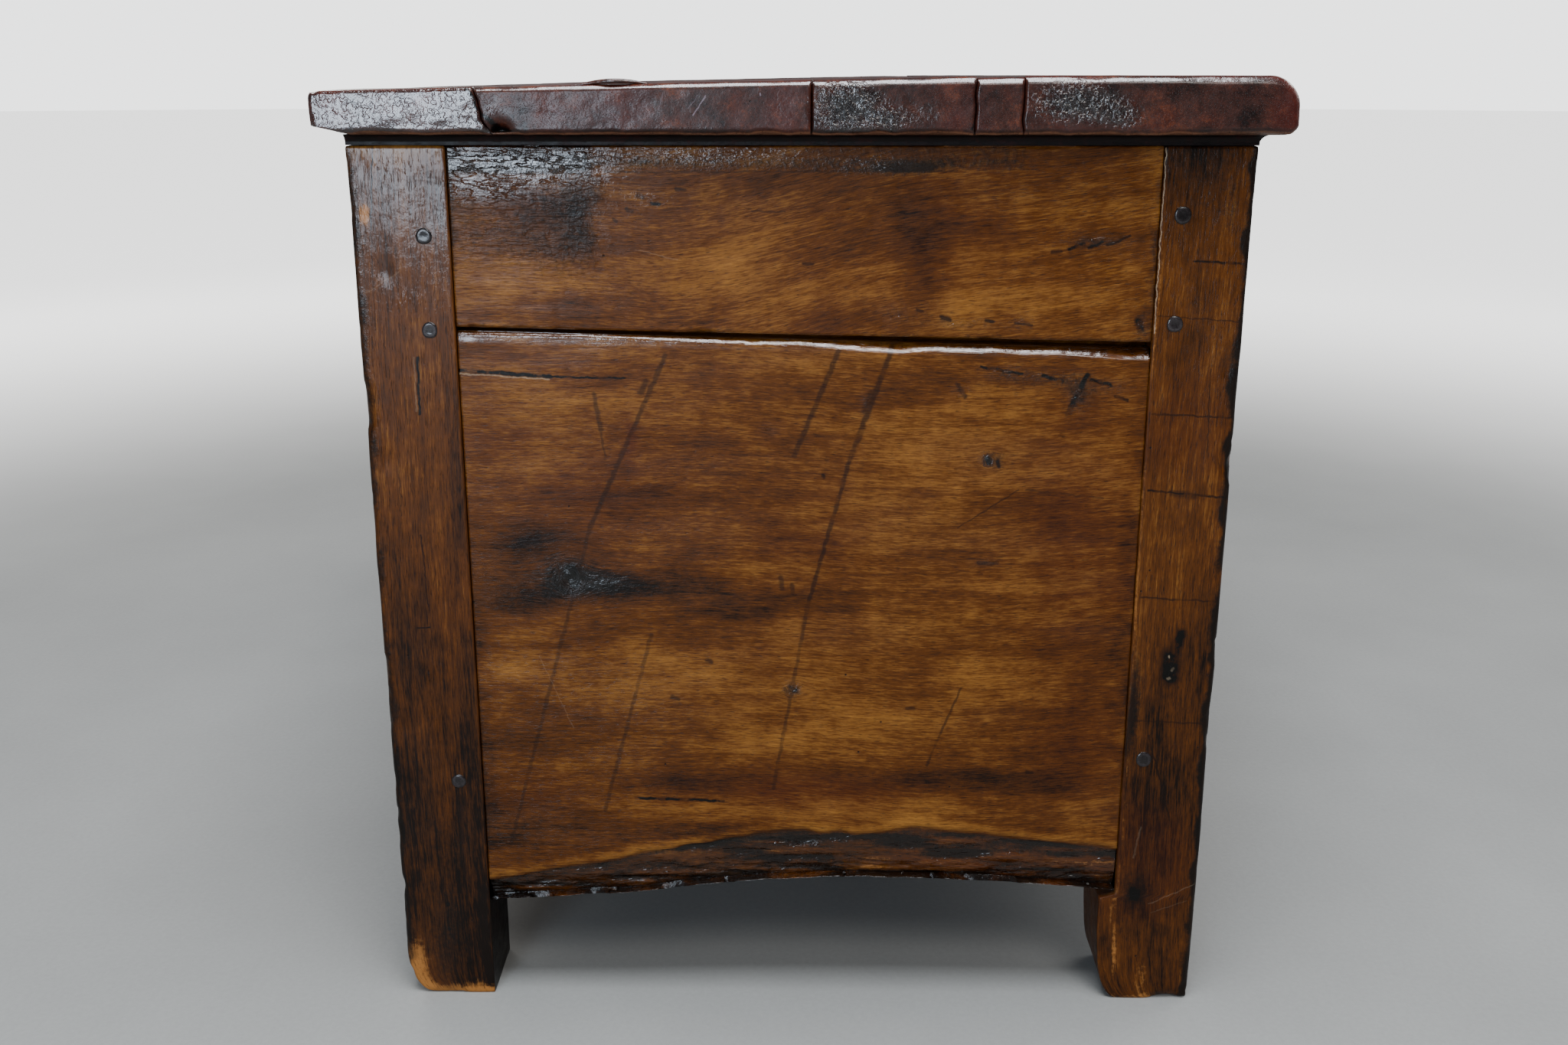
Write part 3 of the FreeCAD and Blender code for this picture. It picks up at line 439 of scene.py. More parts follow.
frontPostMarks = [
    (-0.2245, 0.468, -0.2247, 0.4675, 3.2, 1.0), (-0.2445, 0.268, -0.2412, 0.2555, 3.6, 1.0),
    (-0.2392, 0.2525, -0.2393, 0.239, 6.6, 1.0), (-0.2174, 0.2508, -0.2141, 0.1833, 1.3, 0.7),
    (-0.2283, 0.197, -0.2479, 0.131, 0.6, 0.8), (-0.2283, 0.197, -0.23, 0.15, 0.5, 0.7),
    (-0.2265, 0.083, -0.2268, 0.078, 5.2, 1.0), (-0.235, 0.506, -0.27, 0.504, 0.7, 0.85),
    (-0.2158, 0.473, -0.2706, 0.469, 0.45, 0.6), (-0.2166, 0.4124, -0.2661, 0.41, 0.6, 0.75),
    (-0.2174, 0.3635, -0.2679, 0.3587, 0.8, 0.85), (-0.2172, 0.2926, -0.2661, 0.2902, 0.6, 0.7),
    (-0.2176, 0.2079, -0.2652, 0.2055, 0.6, 0.7), (-0.232, 0.362, -0.246, 0.36, 2.2, 0.6),
    (-0.25, 0.44, -0.252, 0.385, 0.5, 0.6),
]
# Pale marks on the photographed front post: faint scratches, painted glints in the gouge, and a painted
# highlight along the post's inner arris beside the boards
frontPostScratchesAndGlints = [
    (-0.2364, 0.0731, -0.2713, 0.0908, 0.4, 0.12), (-0.238, 0.066, -0.262, 0.076, 0.3, 0.08),
    (-0.2275, 0.1305, -0.2239, 0.1077, 0.6, 0.1), (-0.214, 0.572, -0.2142, 0.462, 0.28, 0.7),
    (-0.2376, 0.253, -0.2376, 0.2518, 0.6, 0.6), (-0.2408, 0.2442, -0.2398, 0.243, 0.8, 0.22),
    (-0.2392, 0.2376, -0.2382, 0.237, 0.8, 0.32),
]
# Soft spots on the posts: y, z, reach in y, reach in z, amount
backPostTones = [(0.245, 0.575, 0.05, 0.012, 0.25)]
backPostDirt = [(0.237, 0.105, 0.012, 0.035, 0.9), (0.24, 0.04, 0.016, 0.03, 1.1)]
backPostBare = [(0.2625, 0.533, 0.004, 0.007, 1.0)]
frontPostDirt = [
    (-0.236, 0.568, 0.028, 0.022, 0.55), (-0.224, 0.520, 0.008, 0.014, 0.22),
    (-0.250, 0.535, 0.014, 0.012, 0.25), (-0.240, 0.480, 0.010, 0.006, 0.15),
    (-0.241, 0.247, 0.006, 0.016, 0.40), (-0.227, 0.082, 0.012, 0.018, 0.75),
    (-0.2170, 0.212, 0.0045, 0.032, 0.85), (-0.236, 0.13, 0.012, 0.03, 0.12),
    (-0.2225, 0.467, 0.005, 0.008, 0.30), (-0.262, 0.43, 0.006, 0.02, 0.20),
]
frontPostTones = [
    (-0.240, 0.36, 0.016, 0.10, 0.02), (-0.24, 0.15, 0.03, 0.09, -0.10),
    (-0.23, 0.48, 0.01, 0.03, 0.02), (-0.24, 0.565, 0.03, 0.03, -0.10),
]


# A post is a ruled block with worn arrises, stretched across its depth to the outline of its foot
def cornerPost(side, wall, seed):
    look = postLook
    if wall == "back":
        y0, y1 = backInnerY, backY
    else:
        y0, y1 = frontY, frontInnerY
    x0, x1 = sorted((side * endX, side * postInnerX))
    coarse = 1.0 if side < 0 else look["hiddenCoarse"]
    spacing = (look["step"] * coarse, look["edgeBand"], look["edgeStep"] * coarse)
    xs, ys = ruled(x0, x1, *spacing), ruled(y0, y1, *spacing)
    zs = ruled(0, caseTop, look["step"] * coarse, look["edgeBand"], look["edgeStep"] * 1.5)
    flat, faces = gridBlock((xs, ys, zs))

    def noise(cell, step, layers=3):
        return layeredNoise(flat, cell, seed + step, layers)

    outward = (flat[:, 0] - (x0 + x1) / 2) * side / (x1 - x0) + 0.5
    outerY = (flat[:, 1] - y0) / (y1 - y0)
    outerY = outerY if wall == "back" else 1 - outerY
    exposed = smooth(outerY, 0.35, 0.65)
    wear = noise((0.05, 0.05, 0.034), 0, 4)
    chips = smooth(wear, 0.15, 0.8) * look["chipDepth"] * look["ragged"][wall] * exposed
    chips *= smooth(outward, 0.4, 0.7)
    radius = look["crispArris"] + (look["wornArris"] - look["crispArris"]) * exposed + chips
    radius *= 1 + 0.3 * noise(0.02, 3, 1)
    atTop = smooth(flat[:, 2], caseTop - 0.012, caseTop - 0.004)
    radius = radius * (1 - atTop) + look["topEdge"] * atTop
    points, normal = roundArrises(flat, np.maximum(radius, 0.0005))

    relief = 0.00025 * noise((0.03, 0.03, 0.09), 11)
    relief -= 0.0006 * smooth(noise((0.009, 0.009, 0.02), 17, 1), 0.45, 0.9) * exposed
    points += normal * np.minimum(relief, 0.0004)[:, None]

    z = points[:, 2]
    depth = y1 - y0
    share = (points[:, 1] - y0) / depth
    if wall == "back":
        rise = np.clip(1 - z / look["backFootReachZ"], 0, 1)
        reach = depth - look["backFootReachY"] * (1 - np.sqrt(1 - rise ** 2))
        points[:, 1] = y0 + share * reach
    else:
        # The foot stands out inwards under the boards, and its inner corner is worn round
        spread = look["frontFootSpread"] * (0.7 + 0.3 * smooth(z, 0.0, look["frontFootTaper"]))
        spread = spread * (z < look["frontFootTop"] - 0.0005)
        rise = np.clip(1 - z / look["frontFootRound"], 0, 1)
        spread = spread - 0.45 * look["frontFootRound"] * (1 - np.sqrt(1 - rise ** 2))
        points[:, 1] = y0 + share * (depth + spread)
    inwards = 1 if wall == "front" else -1
    points[:, 1] += inwards * look["waver"] * np.abs(cellNoise(flat * (0, 0, 1), 0.07, seed + 5)) * exposed
    points[:, 2] = np.maximum(points[:, 2], 0)

    y, x = points[:, 1], points[:, 0]
    fromEdge = np.maximum(np.abs(y - (y1 if wall == "back" else y0)), np.abs(x - side * endX))
    fromEdge = fromEdge + 0.0030 * noise((0.008, 0.008, 0.014), 19)
    streaks = noise((0.007, 0.007, 0.12), 21)
    patches = noise((0.05, 0.05, 0.13), 23)
    grimeAndShade = look["edgeDirt"][wall] * smooth(fromEdge, 0.0085, 0.002) * smooth(wear, -1.4, 0.0)
    inward = smooth(normal[:, 1] * (-1 if wall == "back" else 1), 0.4, 0.9)
    outwardFace = smooth(normal[:, 0] * side, 0.2, 0.6)
    # Painted shade: the inner faces of the feet, below the boards, are darkened in colour as they look in
    # the shadow under the chest
    grimeAndShade += 0.75 * inward * smooth(z, 0.1, 0.08) * (1.0 if wall == "back" else 0.45)
    grimeAndShade += 0.24 * smooth(patches, 0.2, 1.1) + 0.14 * smooth(streaks, 0.2, 1.0)
    tone = -0.02 - 0.045 * (wall == "front") + 0.035 * streaks + 0.04 * patches
    bare = 0.20 * smooth(streaks, 0.35, 1.0) * smooth(z, 0.36, 0.02)
    red = 0.25 * smooth(noise((0.06, 0.06, 0.1), 29, 1), 0.1, 0.8)
    crackle = 0.5 * smooth(noise(0.03, 31, 2), 0.5, 1.0)
    if wall == "back":
        tone += softSpots(y, z, backPostTones) - 0.16 * smooth(z, 0.42, 0.08) - 0.04 * smooth(z, 0.44, 0.56)
        grimeAndShade += 0.5 * softSpots(y, z, backPostDirt)
        rim = smooth(z, 0.06, 0.02) * smooth(y, 0.248, 0.266) * outwardFace
        bare += 0.85 * rim + 0.55 * smooth(z, 0.013, 0.003) * outwardFace
        bare += softSpots(y, z, backPostBare)
    else:
        grimeAndShade += softSpots(y, z, frontPostDirt)
        tone += softSpots(y, z, frontPostTones)
        bare += 0.25 * smooth(z, 0.07, 0.02) * smooth(streaks, 0.2, 0.8)
        bare += 0.45 * smooth(np.abs(y - y1), 0.006, 0.001) * smooth(streaks, -0.1, 0.4)
    bare += 0.5 * smooth(z, 0.006, 0.0) * (1 - np.clip(grimeAndShade, 0, 1))
    along = np.stack([flat[:, 2] + seed, flat[:, 1] + 0.003 * np.sin(flat[:, 2] * 9 + seed), flat[:, 0]], -1)
    onEnd = ((normal[:, 0] * side > 0.6) & (side < 0)).astype(float)
    polish = 0.30 * smooth(z, 0.40, 0.56) * (wall == "back") + 0.1 * smooth(patches, 0.0, 1.0)
    dry = 0.8 * smooth(-normal[:, 0] * side, 0.3, 0.8) * smooth(z, 0.10, 0.12)
    values = {
        "grain": along, "tone": tone, "grimeAndShade": grimeAndShade, "bare": bare, "red": red,
        "crackle": crackle, "onEnd": onEnd, "polish": polish, "dry": dry,
    }
    name = f"post_{wall}_{'left' if side < 0 else 'right'}"
    finish = postFinishes[wall if side < 0 else "plain"]
    makePiece("worn_" + name, points, faces, "case", [name], finish, values)


postWood = dict(
    waxedWood, fleckLong=110.0, fibreLong=22.0, fibreFine=480.0, cloudLong=8.0, cloudFine=42.0,
    fibreShare=0.36, cloudShare=0.34,
)
postFinishes = {
    "back": woodFinish("waxed_walnut_back_post", postWood, backPostMarks, backPostScratches),
    "front": woodFinish("waxed_walnut_front_post", postWood, frontPostMarks, frontPostScratchesAndGlints),
    "plain": woodFinish("waxed_walnut_post", postWood),
}
for number, (side, wall) in enumerate([(-1, "back"), (-1, "front"), (1, "back"), (1, "front")]):
    cornerPost(side, wall, 40 + 50 * number)
print("corner posts made")


# End boards

endLook = {
    "step": 0.0021, "edgeStep": 0.0011, "edgeBand": 0.008,
    "faceBand": 0.006, "riseBand": 0.009, "riseStep": 0.0008,
    "faceInset": 0.001, "thick": 0.026,
    "seamBackZ": 0.465, "seamFrontZ": 0.4565, "gapBack": 0.0022, "gapFront": 0.0038,
    "archBackZ": 0.0715, "archPeakZ": 0.0915,
    "bevelDepth": 0.006, "bevelLow": 0.017, "bevelHigh": 0.039, "bevelPower": 1.15,
    "edgeRound": 0.0009, "lipHeight": 0.0060,
    "handPlaned": 0.00035,
    "stripLow": 0.557, "stripHigh": 0.560,
}
endFaceX = endX - endLook["faceInset"]
endInnerX = endFaceX - endLook["thick"]
boardBackY = backInnerY - joinery["shoulderGap"]
boardFrontY = frontInnerY + joinery["shoulderGap"]


# Share of the way from the back of the end to its front
def forward(y):
    return (boardBackY - y) / (boardBackY - boardFrontY)


# Seam between rail and lower board, lower towards the front
def seamZ(y):
    return endLook["seamBackZ"] + forward(y) * (endLook["seamFrontZ"] - endLook["seamBackZ"])


# Open joint under the rail: it widens forwards
def boardTopZ(y):
    gap = endLook["gapBack"] + forward(y) * (endLook["gapFront"] - endLook["gapBack"])
    return seamZ(y) - gap


# Worn lower edge: a curve through six heights, and how far it has risen from its lower end
def archZ(y):
    share = np.array([0.0, 0.2, 0.42, 0.6, 0.8, 1.0])
    rise = np.array([0.0, 0.29, 0.83, 1.0, 0.87, 0.55])
    fine = np.linspace(0, 1, 201)
    curve = np.interp(fine, share, rise)
    curve = np.convolve(np.pad(curve, 12, mode="edge"), np.hanning(25) / np.hanning(25).sum(), "valid")
    risen = np.interp(forward(y), fine, curve)
    z = endLook["archBackZ"] + risen * (endLook["archPeakZ"] - endLook["archBackZ"])
    return z, risen


# Marks on the photographed end, in metres
lowerBoardMarks = [
    (0.0839, 0.4476, 0.134, 0.3372, 1.5, 0.62), (0.134, 0.3372, 0.1949, 0.116, 1.2, 0.5),
    (0.096, 0.4315, 0.0995, 0.425, 2.0, 0.6), (-0.0227, 0.451, 0.0044, 0.385, 1.6, 0.66),
    (-0.0554, 0.4526, -0.0304, 0.3827, 1.7, 0.7), (-0.043, 0.424, -0.0395, 0.413, 2.4, 0.6),
    (-0.0304, 0.3827, -0.0045, 0.2865, 1.3, 0.7), (-0.0045, 0.2865, 0.018, 0.1569, 1.2, 0.52),
    (0.0969, 0.2651, 0.1309, 0.1393, 1.2, 0.5), (-0.1044, 0.2289, -0.0834, 0.1743, 0.8, 0.6),
    (0.1075, 0.1491, 0.0513, 0.1472, 1.0, 0.95), (0.2115, 0.4381, 0.155, 0.4345, 1.3, 1.0),
    (0.155, 0.4345, 0.109, 0.4335, 0.7, 1.0), (0.0053, 0.2283, 0.004, 0.2279, 3.0, 0.95),
    (-0.1163, 0.3829, -0.1172, 0.381, 2.6, 0.9), (-0.1225, 0.3815, -0.123, 0.379, 1.7, 0.85),
    (-0.113, 0.3153, -0.1245, 0.315, 1.3, 0.95), (-0.0138, 0.3718, -0.0138, 0.3714, 1.3, 0.9),
    (-0.1361, 0.3632, -0.0986, 0.3381, 0.45, 0.6), (-0.1409, 0.3632, -0.189, 0.3584, 0.6, 0.45),
    (-0.1752, 0.4362, -0.1648, 0.4122, 1.8, 1.0), (-0.11, 0.441, -0.135, 0.4372, 1.0, 0.9),
    (-0.148, 0.436, -0.16, 0.4325, 1.3, 0.95), (-0.178, 0.4335, -0.19, 0.43, 1.2, 0.9),
    (-0.096, 0.43, -0.101, 0.4225, 1.4, 0.75), (-0.193, 0.423, -0.201, 0.4205, 0.9, 0.8),
    (0.1285, 0.4236, 0.125, 0.401, 1.5, 0.6), (0.125, 0.401, 0.1228, 0.3822, 0.7, 0.5),
    (0.013, 0.305, 0.012, 0.297, 1.6, 0.6), (0.006, 0.3, 0.0055, 0.294, 1.2, 0.6),
    (0.1475, 0.3085, 0.1455, 0.3005, 6.2, 1.0), (0.153, 0.304, 0.1325, 0.3035, 2.4, 0.9),
    (0.061, 0.248, 0.058, 0.2465, 1.5, 0.7), (0.084, 0.222, 0.08, 0.2205, 1.3, 0.7),
    (-0.07, 0.215, -0.074, 0.2145, 1.3, 0.6), (-0.15, 0.17, -0.153, 0.1697, 1.4, 0.7),
]
# Pale marks on the lower board: a painted highlight on the lit lower lip of the crack near its top, and a
# faint scratch
lowerBoardScratchesAndLitLip = [(0.211, 0.4362, 0.156, 0.4328, 0.45, 0.5), (0.17, 0.25, 0.15, 0.2, 0.3, 0.12)]
upperBoardMarks = [
    (-0.16, 0.513, -0.169, 0.516, 1.1, 0.9), (-0.172, 0.5135, -0.18, 0.517, 1.0, 0.9),
    (-0.183, 0.515, -0.196, 0.5205, 0.9, 0.8), (-0.15, 0.511, -0.156, 0.5112, 0.8, 0.7),
    (0.098, 0.544, 0.095, 0.543, 1.5, 0.9), (0.09, 0.5395, 0.086, 0.539, 1.3, 0.9),
    (0.105, 0.536, 0.102, 0.535, 1.1, 0.8), (0.075, 0.548, 0.07, 0.5475, 1.0, 0.8),
    (0.113, 0.53, 0.111, 0.529, 0.9, 0.7), (-0.001, 0.504, -0.006, 0.5035, 1.0, 0.7),
    (-0.085, 0.472, -0.09, 0.47, 1.4, 0.8), (-0.112, 0.47, -0.116, 0.469, 1.1, 0.8),
    (-0.07, 0.476, -0.073, 0.4755, 0.9, 0.7), (-0.13, 0.468, -0.14, 0.467, 0.8, 0.7),
    (-0.204, 0.47, -0.206, 0.464, 2.2, 0.9), (0.03, 0.535, 0.01, 0.5345, 0.45, 0.5),
    (0.1169, 0.5577, -0.0919, 0.5585, 0.6, 0.55),
]
upperBoardScratches = [(0.1, 0.512, 0.075, 0.506, 0.35, 0.15)]

# Soft spots on the photographed end: y, z, reach in y, reach in z, amount
lowerDarkSpots = [
    (0.1475, 0.303, 0.019, 0.012, 0.85), (0.1708, 0.329, 0.022, 0.013, 0.46),
    (0.1773, 0.288, 0.022, 0.012, 0.46), (0.106, 0.3, 0.04, 0.009, 0.5),
    (0.0558, 0.2975, 0.014, 0.007, 0.25), (0.198, 0.3, 0.01, 0.026, 0.25),
    (0.0763, 0.1606, 0.04, 0.008, 0.36), (0.0629, 0.124, 0.045, 0.007, 0.4),
    (-0.0675, 0.164, 0.055, 0.009, 0.3), (-0.137, 0.162, 0.045, 0.011, 0.3),
    (0.1847, 0.1343, 0.022, 0.014, 0.2), (0.2112, 0.1649, 0.006, 0.05, 0.3),
    (0.0053, 0.2283, 0.008, 0.006, 0.4), (-0.117, 0.382, 0.009, 0.006, 0.3),
    (-0.146, 0.432, 0.034, 0.008, 0.22), (-0.206, 0.22, 0.005, 0.08, 0.25),
    (-0.206, 0.4, 0.004, 0.05, 0.2), (-0.17, 0.425, 0.01, 0.012, 0.25),
]
lowerLightSpots = [
    (0.0611, 0.2404, 0.05, 0.02, 0.11), (0.1839, 0.2447, 0.024, 0.022, 0.08),
    (-0.1109, 0.251, 0.05, 0.03, 0.08), (-0.0209, 0.2064, 0.045, 0.018, 0.08),
    (0.1103, 0.4207, 0.08, 0.018, 0.06), (-0.1398, 0.4168, 0.04, 0.018, 0.06),
    (-0.0308, 0.14, 0.11, 0.008, 0.15), (0.0342, 0.1862, 0.05, 0.01, 0.06),
    (0.1765, 0.3939, 0.035, 0.03, 0.05), (0.0335, 0.2862, 0.055, 0.011, -0.11),
    (-0.1743, 0.3315, 0.035, 0.09, -0.04), (-0.1864, 0.1875, 0.03, 0.03, -0.05),
    (0.1339, 0.367, 0.05, 0.02, -0.05), (0.03, 0.345, 0.09, 0.02, -0.03),
    (0.17, 0.115, 0.05, 0.022, -0.09), (0.1708, 0.329, 0.026, 0.015, -0.17),
    (0.1773, 0.288, 0.026, 0.014, -0.17), (0.106, 0.3, 0.045, 0.011, -0.18),
    (0.1475, 0.305, 0.034, 0.024, -0.12), (0.0763, 0.1606, 0.045, 0.01, -0.12),
    (0.0629, 0.124, 0.05, 0.008, -0.14), (-0.0675, 0.164, 0.06, 0.01, -0.12),
    (-0.137, 0.162, 0.05, 0.012, -0.14), (0.1847, 0.1343, 0.028, 0.018, -0.09),
    (0.2112, 0.2, 0.007, 0.12, -0.1), (-0.208, 0.3, 0.006, 0.15, -0.08),
    (0.17, 0.16, 0.05, 0.055, -0.07),
]
lowerTornSpots = [
    (-0.125, 0.4375, 0.014, 0.005, 0.9), (-0.15, 0.4345, 0.016, 0.005, 0.8),
    (-0.171, 0.424, 0.008, 0.014, 1.0), (-0.19, 0.429, 0.012, 0.005, 0.8),
    (-0.0985, 0.426, 0.006, 0.005, 0.7), (0.1475, 0.303, 0.016, 0.009, 1.0),
    (-0.1165, 0.3825, 0.006, 0.005, 0.8), (-0.118, 0.3152, 0.008, 0.002, 0.9),
    (-0.04, 0.419, 0.003, 0.009, 0.6), (0.005, 0.2282, 0.006, 0.005, 0.8),
    (0.124, 0.3, 0.012, 0.004, 0.6), (0.019, 0.402, 0.006, 0.004, 0.5),
]
lowerRedSpots = [
    (-0.1743, 0.3315, 0.04, 0.09, 0.3), (-0.1864, 0.1875, 0.04, 0.04, 0.25),
    (0.1339, 0.367, 0.06, 0.04, 0.22), (0.108, 0.396, 0.004, 0.016, 0.6), (0.0, 0.155, 0.1, 0.015, 0.25),
    (-0.01, 0.33, 0.05, 0.03, 0.18),
]
upperDarkSpots = [
    (0.14, 0.531, 0.028, 0.024, 0.34), (-0.0593, 0.56, 0.026, 0.006, 0.75),
    (-0.0736, 0.5166, 0.014, 0.03, 0.2), (-0.0713, 0.4727, 0.016, 0.012, 0.2),
    (-0.176, 0.5185, 0.03, 0.006, 0.22), (-0.2, 0.48, 0.012, 0.018, 0.2),
    (0.145, 0.5, 0.02, 0.014, 0.12), (-0.1618, 0.566, 0.034, 0.008, 0.22),
    (-0.209, 0.515, 0.003, 0.05, 0.35),
]
upperWetSpots = [
    (0.195, 0.564, 0.024, 0.009, 1.0), (0.1639, 0.559, 0.022, 0.008, 1.0),
    (0.1303, 0.564, 0.024, 0.008, 0.8), (0.19, 0.55, 0.02, 0.006, 0.7), (0.05, 0.568, 0.05, 0.005, 0.5),
    (-0.0443, 0.564, 0.02, 0.006, 0.4),
]
upperTornSpots = [
    (-0.176, 0.5175, 0.022, 0.003, 0.8), (-0.1, 0.468, 0.022, 0.003, 0.8),
    (-0.133, 0.469, 0.008, 0.005, 0.7), (0.09, 0.542, 0.014, 0.004, 0.4),
    (-0.056, 0.474, 0.006, 0.006, 0.7), (-0.207, 0.466, 0.004, 0.01, 0.9),
]
upperLightSpots = [
    (0.1669, 0.4963, 0.05, 0.018, 0.13), (0.0444, 0.4997, 0.055, 0.022, 0.1),
    (0.0641, 0.5397, 0.045, 0.012, 0.05), (-0.1389, 0.483, 0.045, 0.014, 0.09),
    (-0.1197, 0.5397, 0.045, 0.012, 0.03), (-0.0883, 0.4728, 0.016, 0.01, 0.07),
    (0.0, 0.48, 0.05, 0.01, 0.05), (-0.03, 0.52, 0.03, 0.015, -0.06), (-0.17, 0.545, 0.03, 0.015, -0.05),
    (-0.0736, 0.51, 0.016, 0.034, -0.14), (0.142, 0.532, 0.032, 0.028, -0.14),
    (-0.19, 0.518, 0.03, 0.012, -0.08),
]
knots = [(0.1478, 0.3038, 0.0095), (0.0048, 0.2282, 0.0038), (-0.1170, 0.3822, 0.0036)]


# Grain lines part round a knot as a stream parts round a post: across becomes d * (1 - R^2 / r^2)
def aroundKnots(y, z, seed):
    across = z + 0.006 * np.sin(y * 7 + seed) + 0.003 * np.sin(y * 19 + seed * 2)
    for knotY, knotZ, size in knots:
        away = np.sqrt((y - knotY) ** 2 + (z - knotZ) ** 2) + 1e-6
        pushed = (z - knotZ) * (1 - (size / np.maximum(away, size)) ** 2)
        inside = smooth(away, size * 1.1, size * 0.9)
        near = np.exp(-(away / (size * 5)) ** 2)
        across += near * (pushed - (z - knotZ))
        across = across * (1 - inside) + (knotZ + away * 2.2) * inside
    return across


# A wall board is a ruled block between two posts: its lower edge follows lowZ and its upper edge highZ.
# It is worked out with x as its depth and y along it, then turned when it stands at the front or back.
def wallBoard(name, plan, seed, finish):
    look, seen, out = endLook, plan["seen"], plan["out"]
    coarse = 1.0 if seen else plan["coarse"]
    face, inner = plan["face"], plan["inner"]
    x0, x1 = sorted((face, inner))
    lapX = inner + out * joinery["lapThick"]
    lapLines = [lapX - 0.00005, lapX + 0.00005]
    faceLines = ruled(x0, x1, look["edgeStep"] * 2, look["faceBand"], look["edgeStep"])
    xs = np.unique(np.concatenate([faceLines, lapLines]))
    ys = ruled(*plan["span"], look["step"] * coarse, look["edgeBand"], look["edgeStep"] * coarse)
    steps = (look["step"] * coarse, look["riseBand"], look["riseStep"])
    zs = ruled(0, 1, *[step / plan["height"] for step in steps])
    flat, faces = gridBlock((xs, ys, zs))

    share, y = flat[:, 2], flat[:, 1]
    low, risen = plan["lowZ"](y)
    high = plan["highZ"](y)
    behind = (flat[:, 0] - lapX) * out < 0
    if plan["upper"]:
        low = low - np.where(behind, joinery["lapHeight"], 0)
    else:
        high = high - np.where(behind, joinery["lapHeight"] + 0.0005, 0)
    z = low + share * (high - low)
    square = np.stack([flat[:, 0], y, z], -1)

    def noise(cell, step, layers=3):
        return layeredNoise(square, cell, seed + step, layers)

    onFace = np.abs(flat[:, 0] - face) < 1e-4

    wear = noise((0.05, 0.03, 0.03), 0, 4)
    rounding = np.maximum(look["edgeRound"] * (1 + 0.5 * wear) + 0.0018 * smooth(wear, 0.5, 1.0), 0.0004)
    fromTop, fromLow = high - z, z - low
    points = square.copy()
    for gap in (fromTop, fromLow):
        # A quarter round at each long arris: the face falls back by r - sqrt(r^2 - (r - gap)^2)
        over = np.clip(rounding - gap, 0, None)
        points[:, 0] -= out * (rounding - np.sqrt(np.maximum(rounding ** 2 - over ** 2, 0))) * onFace
    if not plan["upper"]:
        # The lip is worn to a bevel whose height widens forwards
        ahead = np.clip((plan["span"][1] - y) / (plan["span"][1] - plan["span"][0]), 0, 1)
        lip = look["lipHeight"] * (0.35 + 0.65 * smooth(ahead, 0.1, 0.75)) * (1 + 0.25 * wear)
        points[:, 0] -= out * 0.9 * np.clip(lip - fromTop, 0, None) * onFace

    relief = look["handPlaned"] * noise((0.1, 0.09, 0.035), 5)
    relief += 0.00008 * noise((0.01, 0.02, 0.005), 9, 2)
    if not plan["upper"]:
        relief -= smooth(fromTop, 0.007, 0.0) * 0.0009 * smooth(wear, 0.2, 1.0)
    if plan["worn"]:
        bevelHeight = look["bevelLow"] + risen * (look["bevelHigh"] - look["bevelLow"])
        worn = 1 + 0.16 * noise((0.05, 0.05, 0.05), 13)
        slope = np.clip(1 - fromLow / (bevelHeight * worn), 0, 1)
        relief -= look["bevelDepth"] * slope ** look["bevelPower"]
        scars = smooth(noise((0.02, 0.022, 0.006), 15, 1), 0.1, 0.8)
        scars += smooth(noise((0.01, 0.01, 0.004), 16, 1), 0.3, 0.9)
        ridges = noise((0.03, 0.035, 0.0045), 37)
        rough = smooth(slope, 0.0, 0.2) * smooth(slope, 1.05, 0.75)
        relief -= (0.0008 * scars + 0.0014 * ridges) * rough + 0.0026 * smooth(slope, 0.0, 0.04)
        under = smooth(fromLow, 0.004, 0.0)
        points[:, 2] += under * 0.0007 * noise((0.03, 0.02, 0.02), 25)
    if seen and not plan["upper"]:
        knotY, knotZ, size = knots[0]
        away = np.sqrt(((y - knotY) / 1.25) ** 2 + (z - knotZ) ** 2)
        knobs = 0.0007 * noise(0.003, 18, 1)
        relief += smooth(away, size * 1.3, size * 0.4) * (knobs - 0.0009)
    points[:, 0] += out * np.where(onFace, np.minimum(relief, 0.0006), 0)

    streaks = noise((0.05, 0.13, 0.006), 21)
    broad = noise((0.05, 0.12, 0.03), 23)
    ripple = noise((0.03, 0.012, 0.06), 27, 1)
    tone = 0.01 + 0.035 * streaks + 0.035 * broad + 0.02 * ripple
    sides = np.minimum(y - plan["span"][0], plan["span"][1] - y)
    grimeAndShade = 0.35 * smooth(sides, 0.004, 0.0) + 0.12 * smooth(streaks + broad, 0.9, 1.8)
    bare = 0.1 * smooth(broad, 0.4, 1.0)
    red = 0.22 * smooth(noise((0.05, 0.09, 0.05), 29, 1), 0.1, 0.8)
    crackle = 0.25 * smooth(noise(0.04, 31, 2), 0.6, 1.0)
    polish = 0.1 * smooth(broad, 0.0, 1.0)
    wobbleY = y + 0.007 * noise((0.1, 0.03, 0.008), 33, 1)
    wobbleZ = z + 0.0035 * noise((0.1, 0.03, 0.012), 35, 1)
    if plan["upper"]:
        ends = smooth(wobbleY, -0.150, -0.115) if seen else 1.0
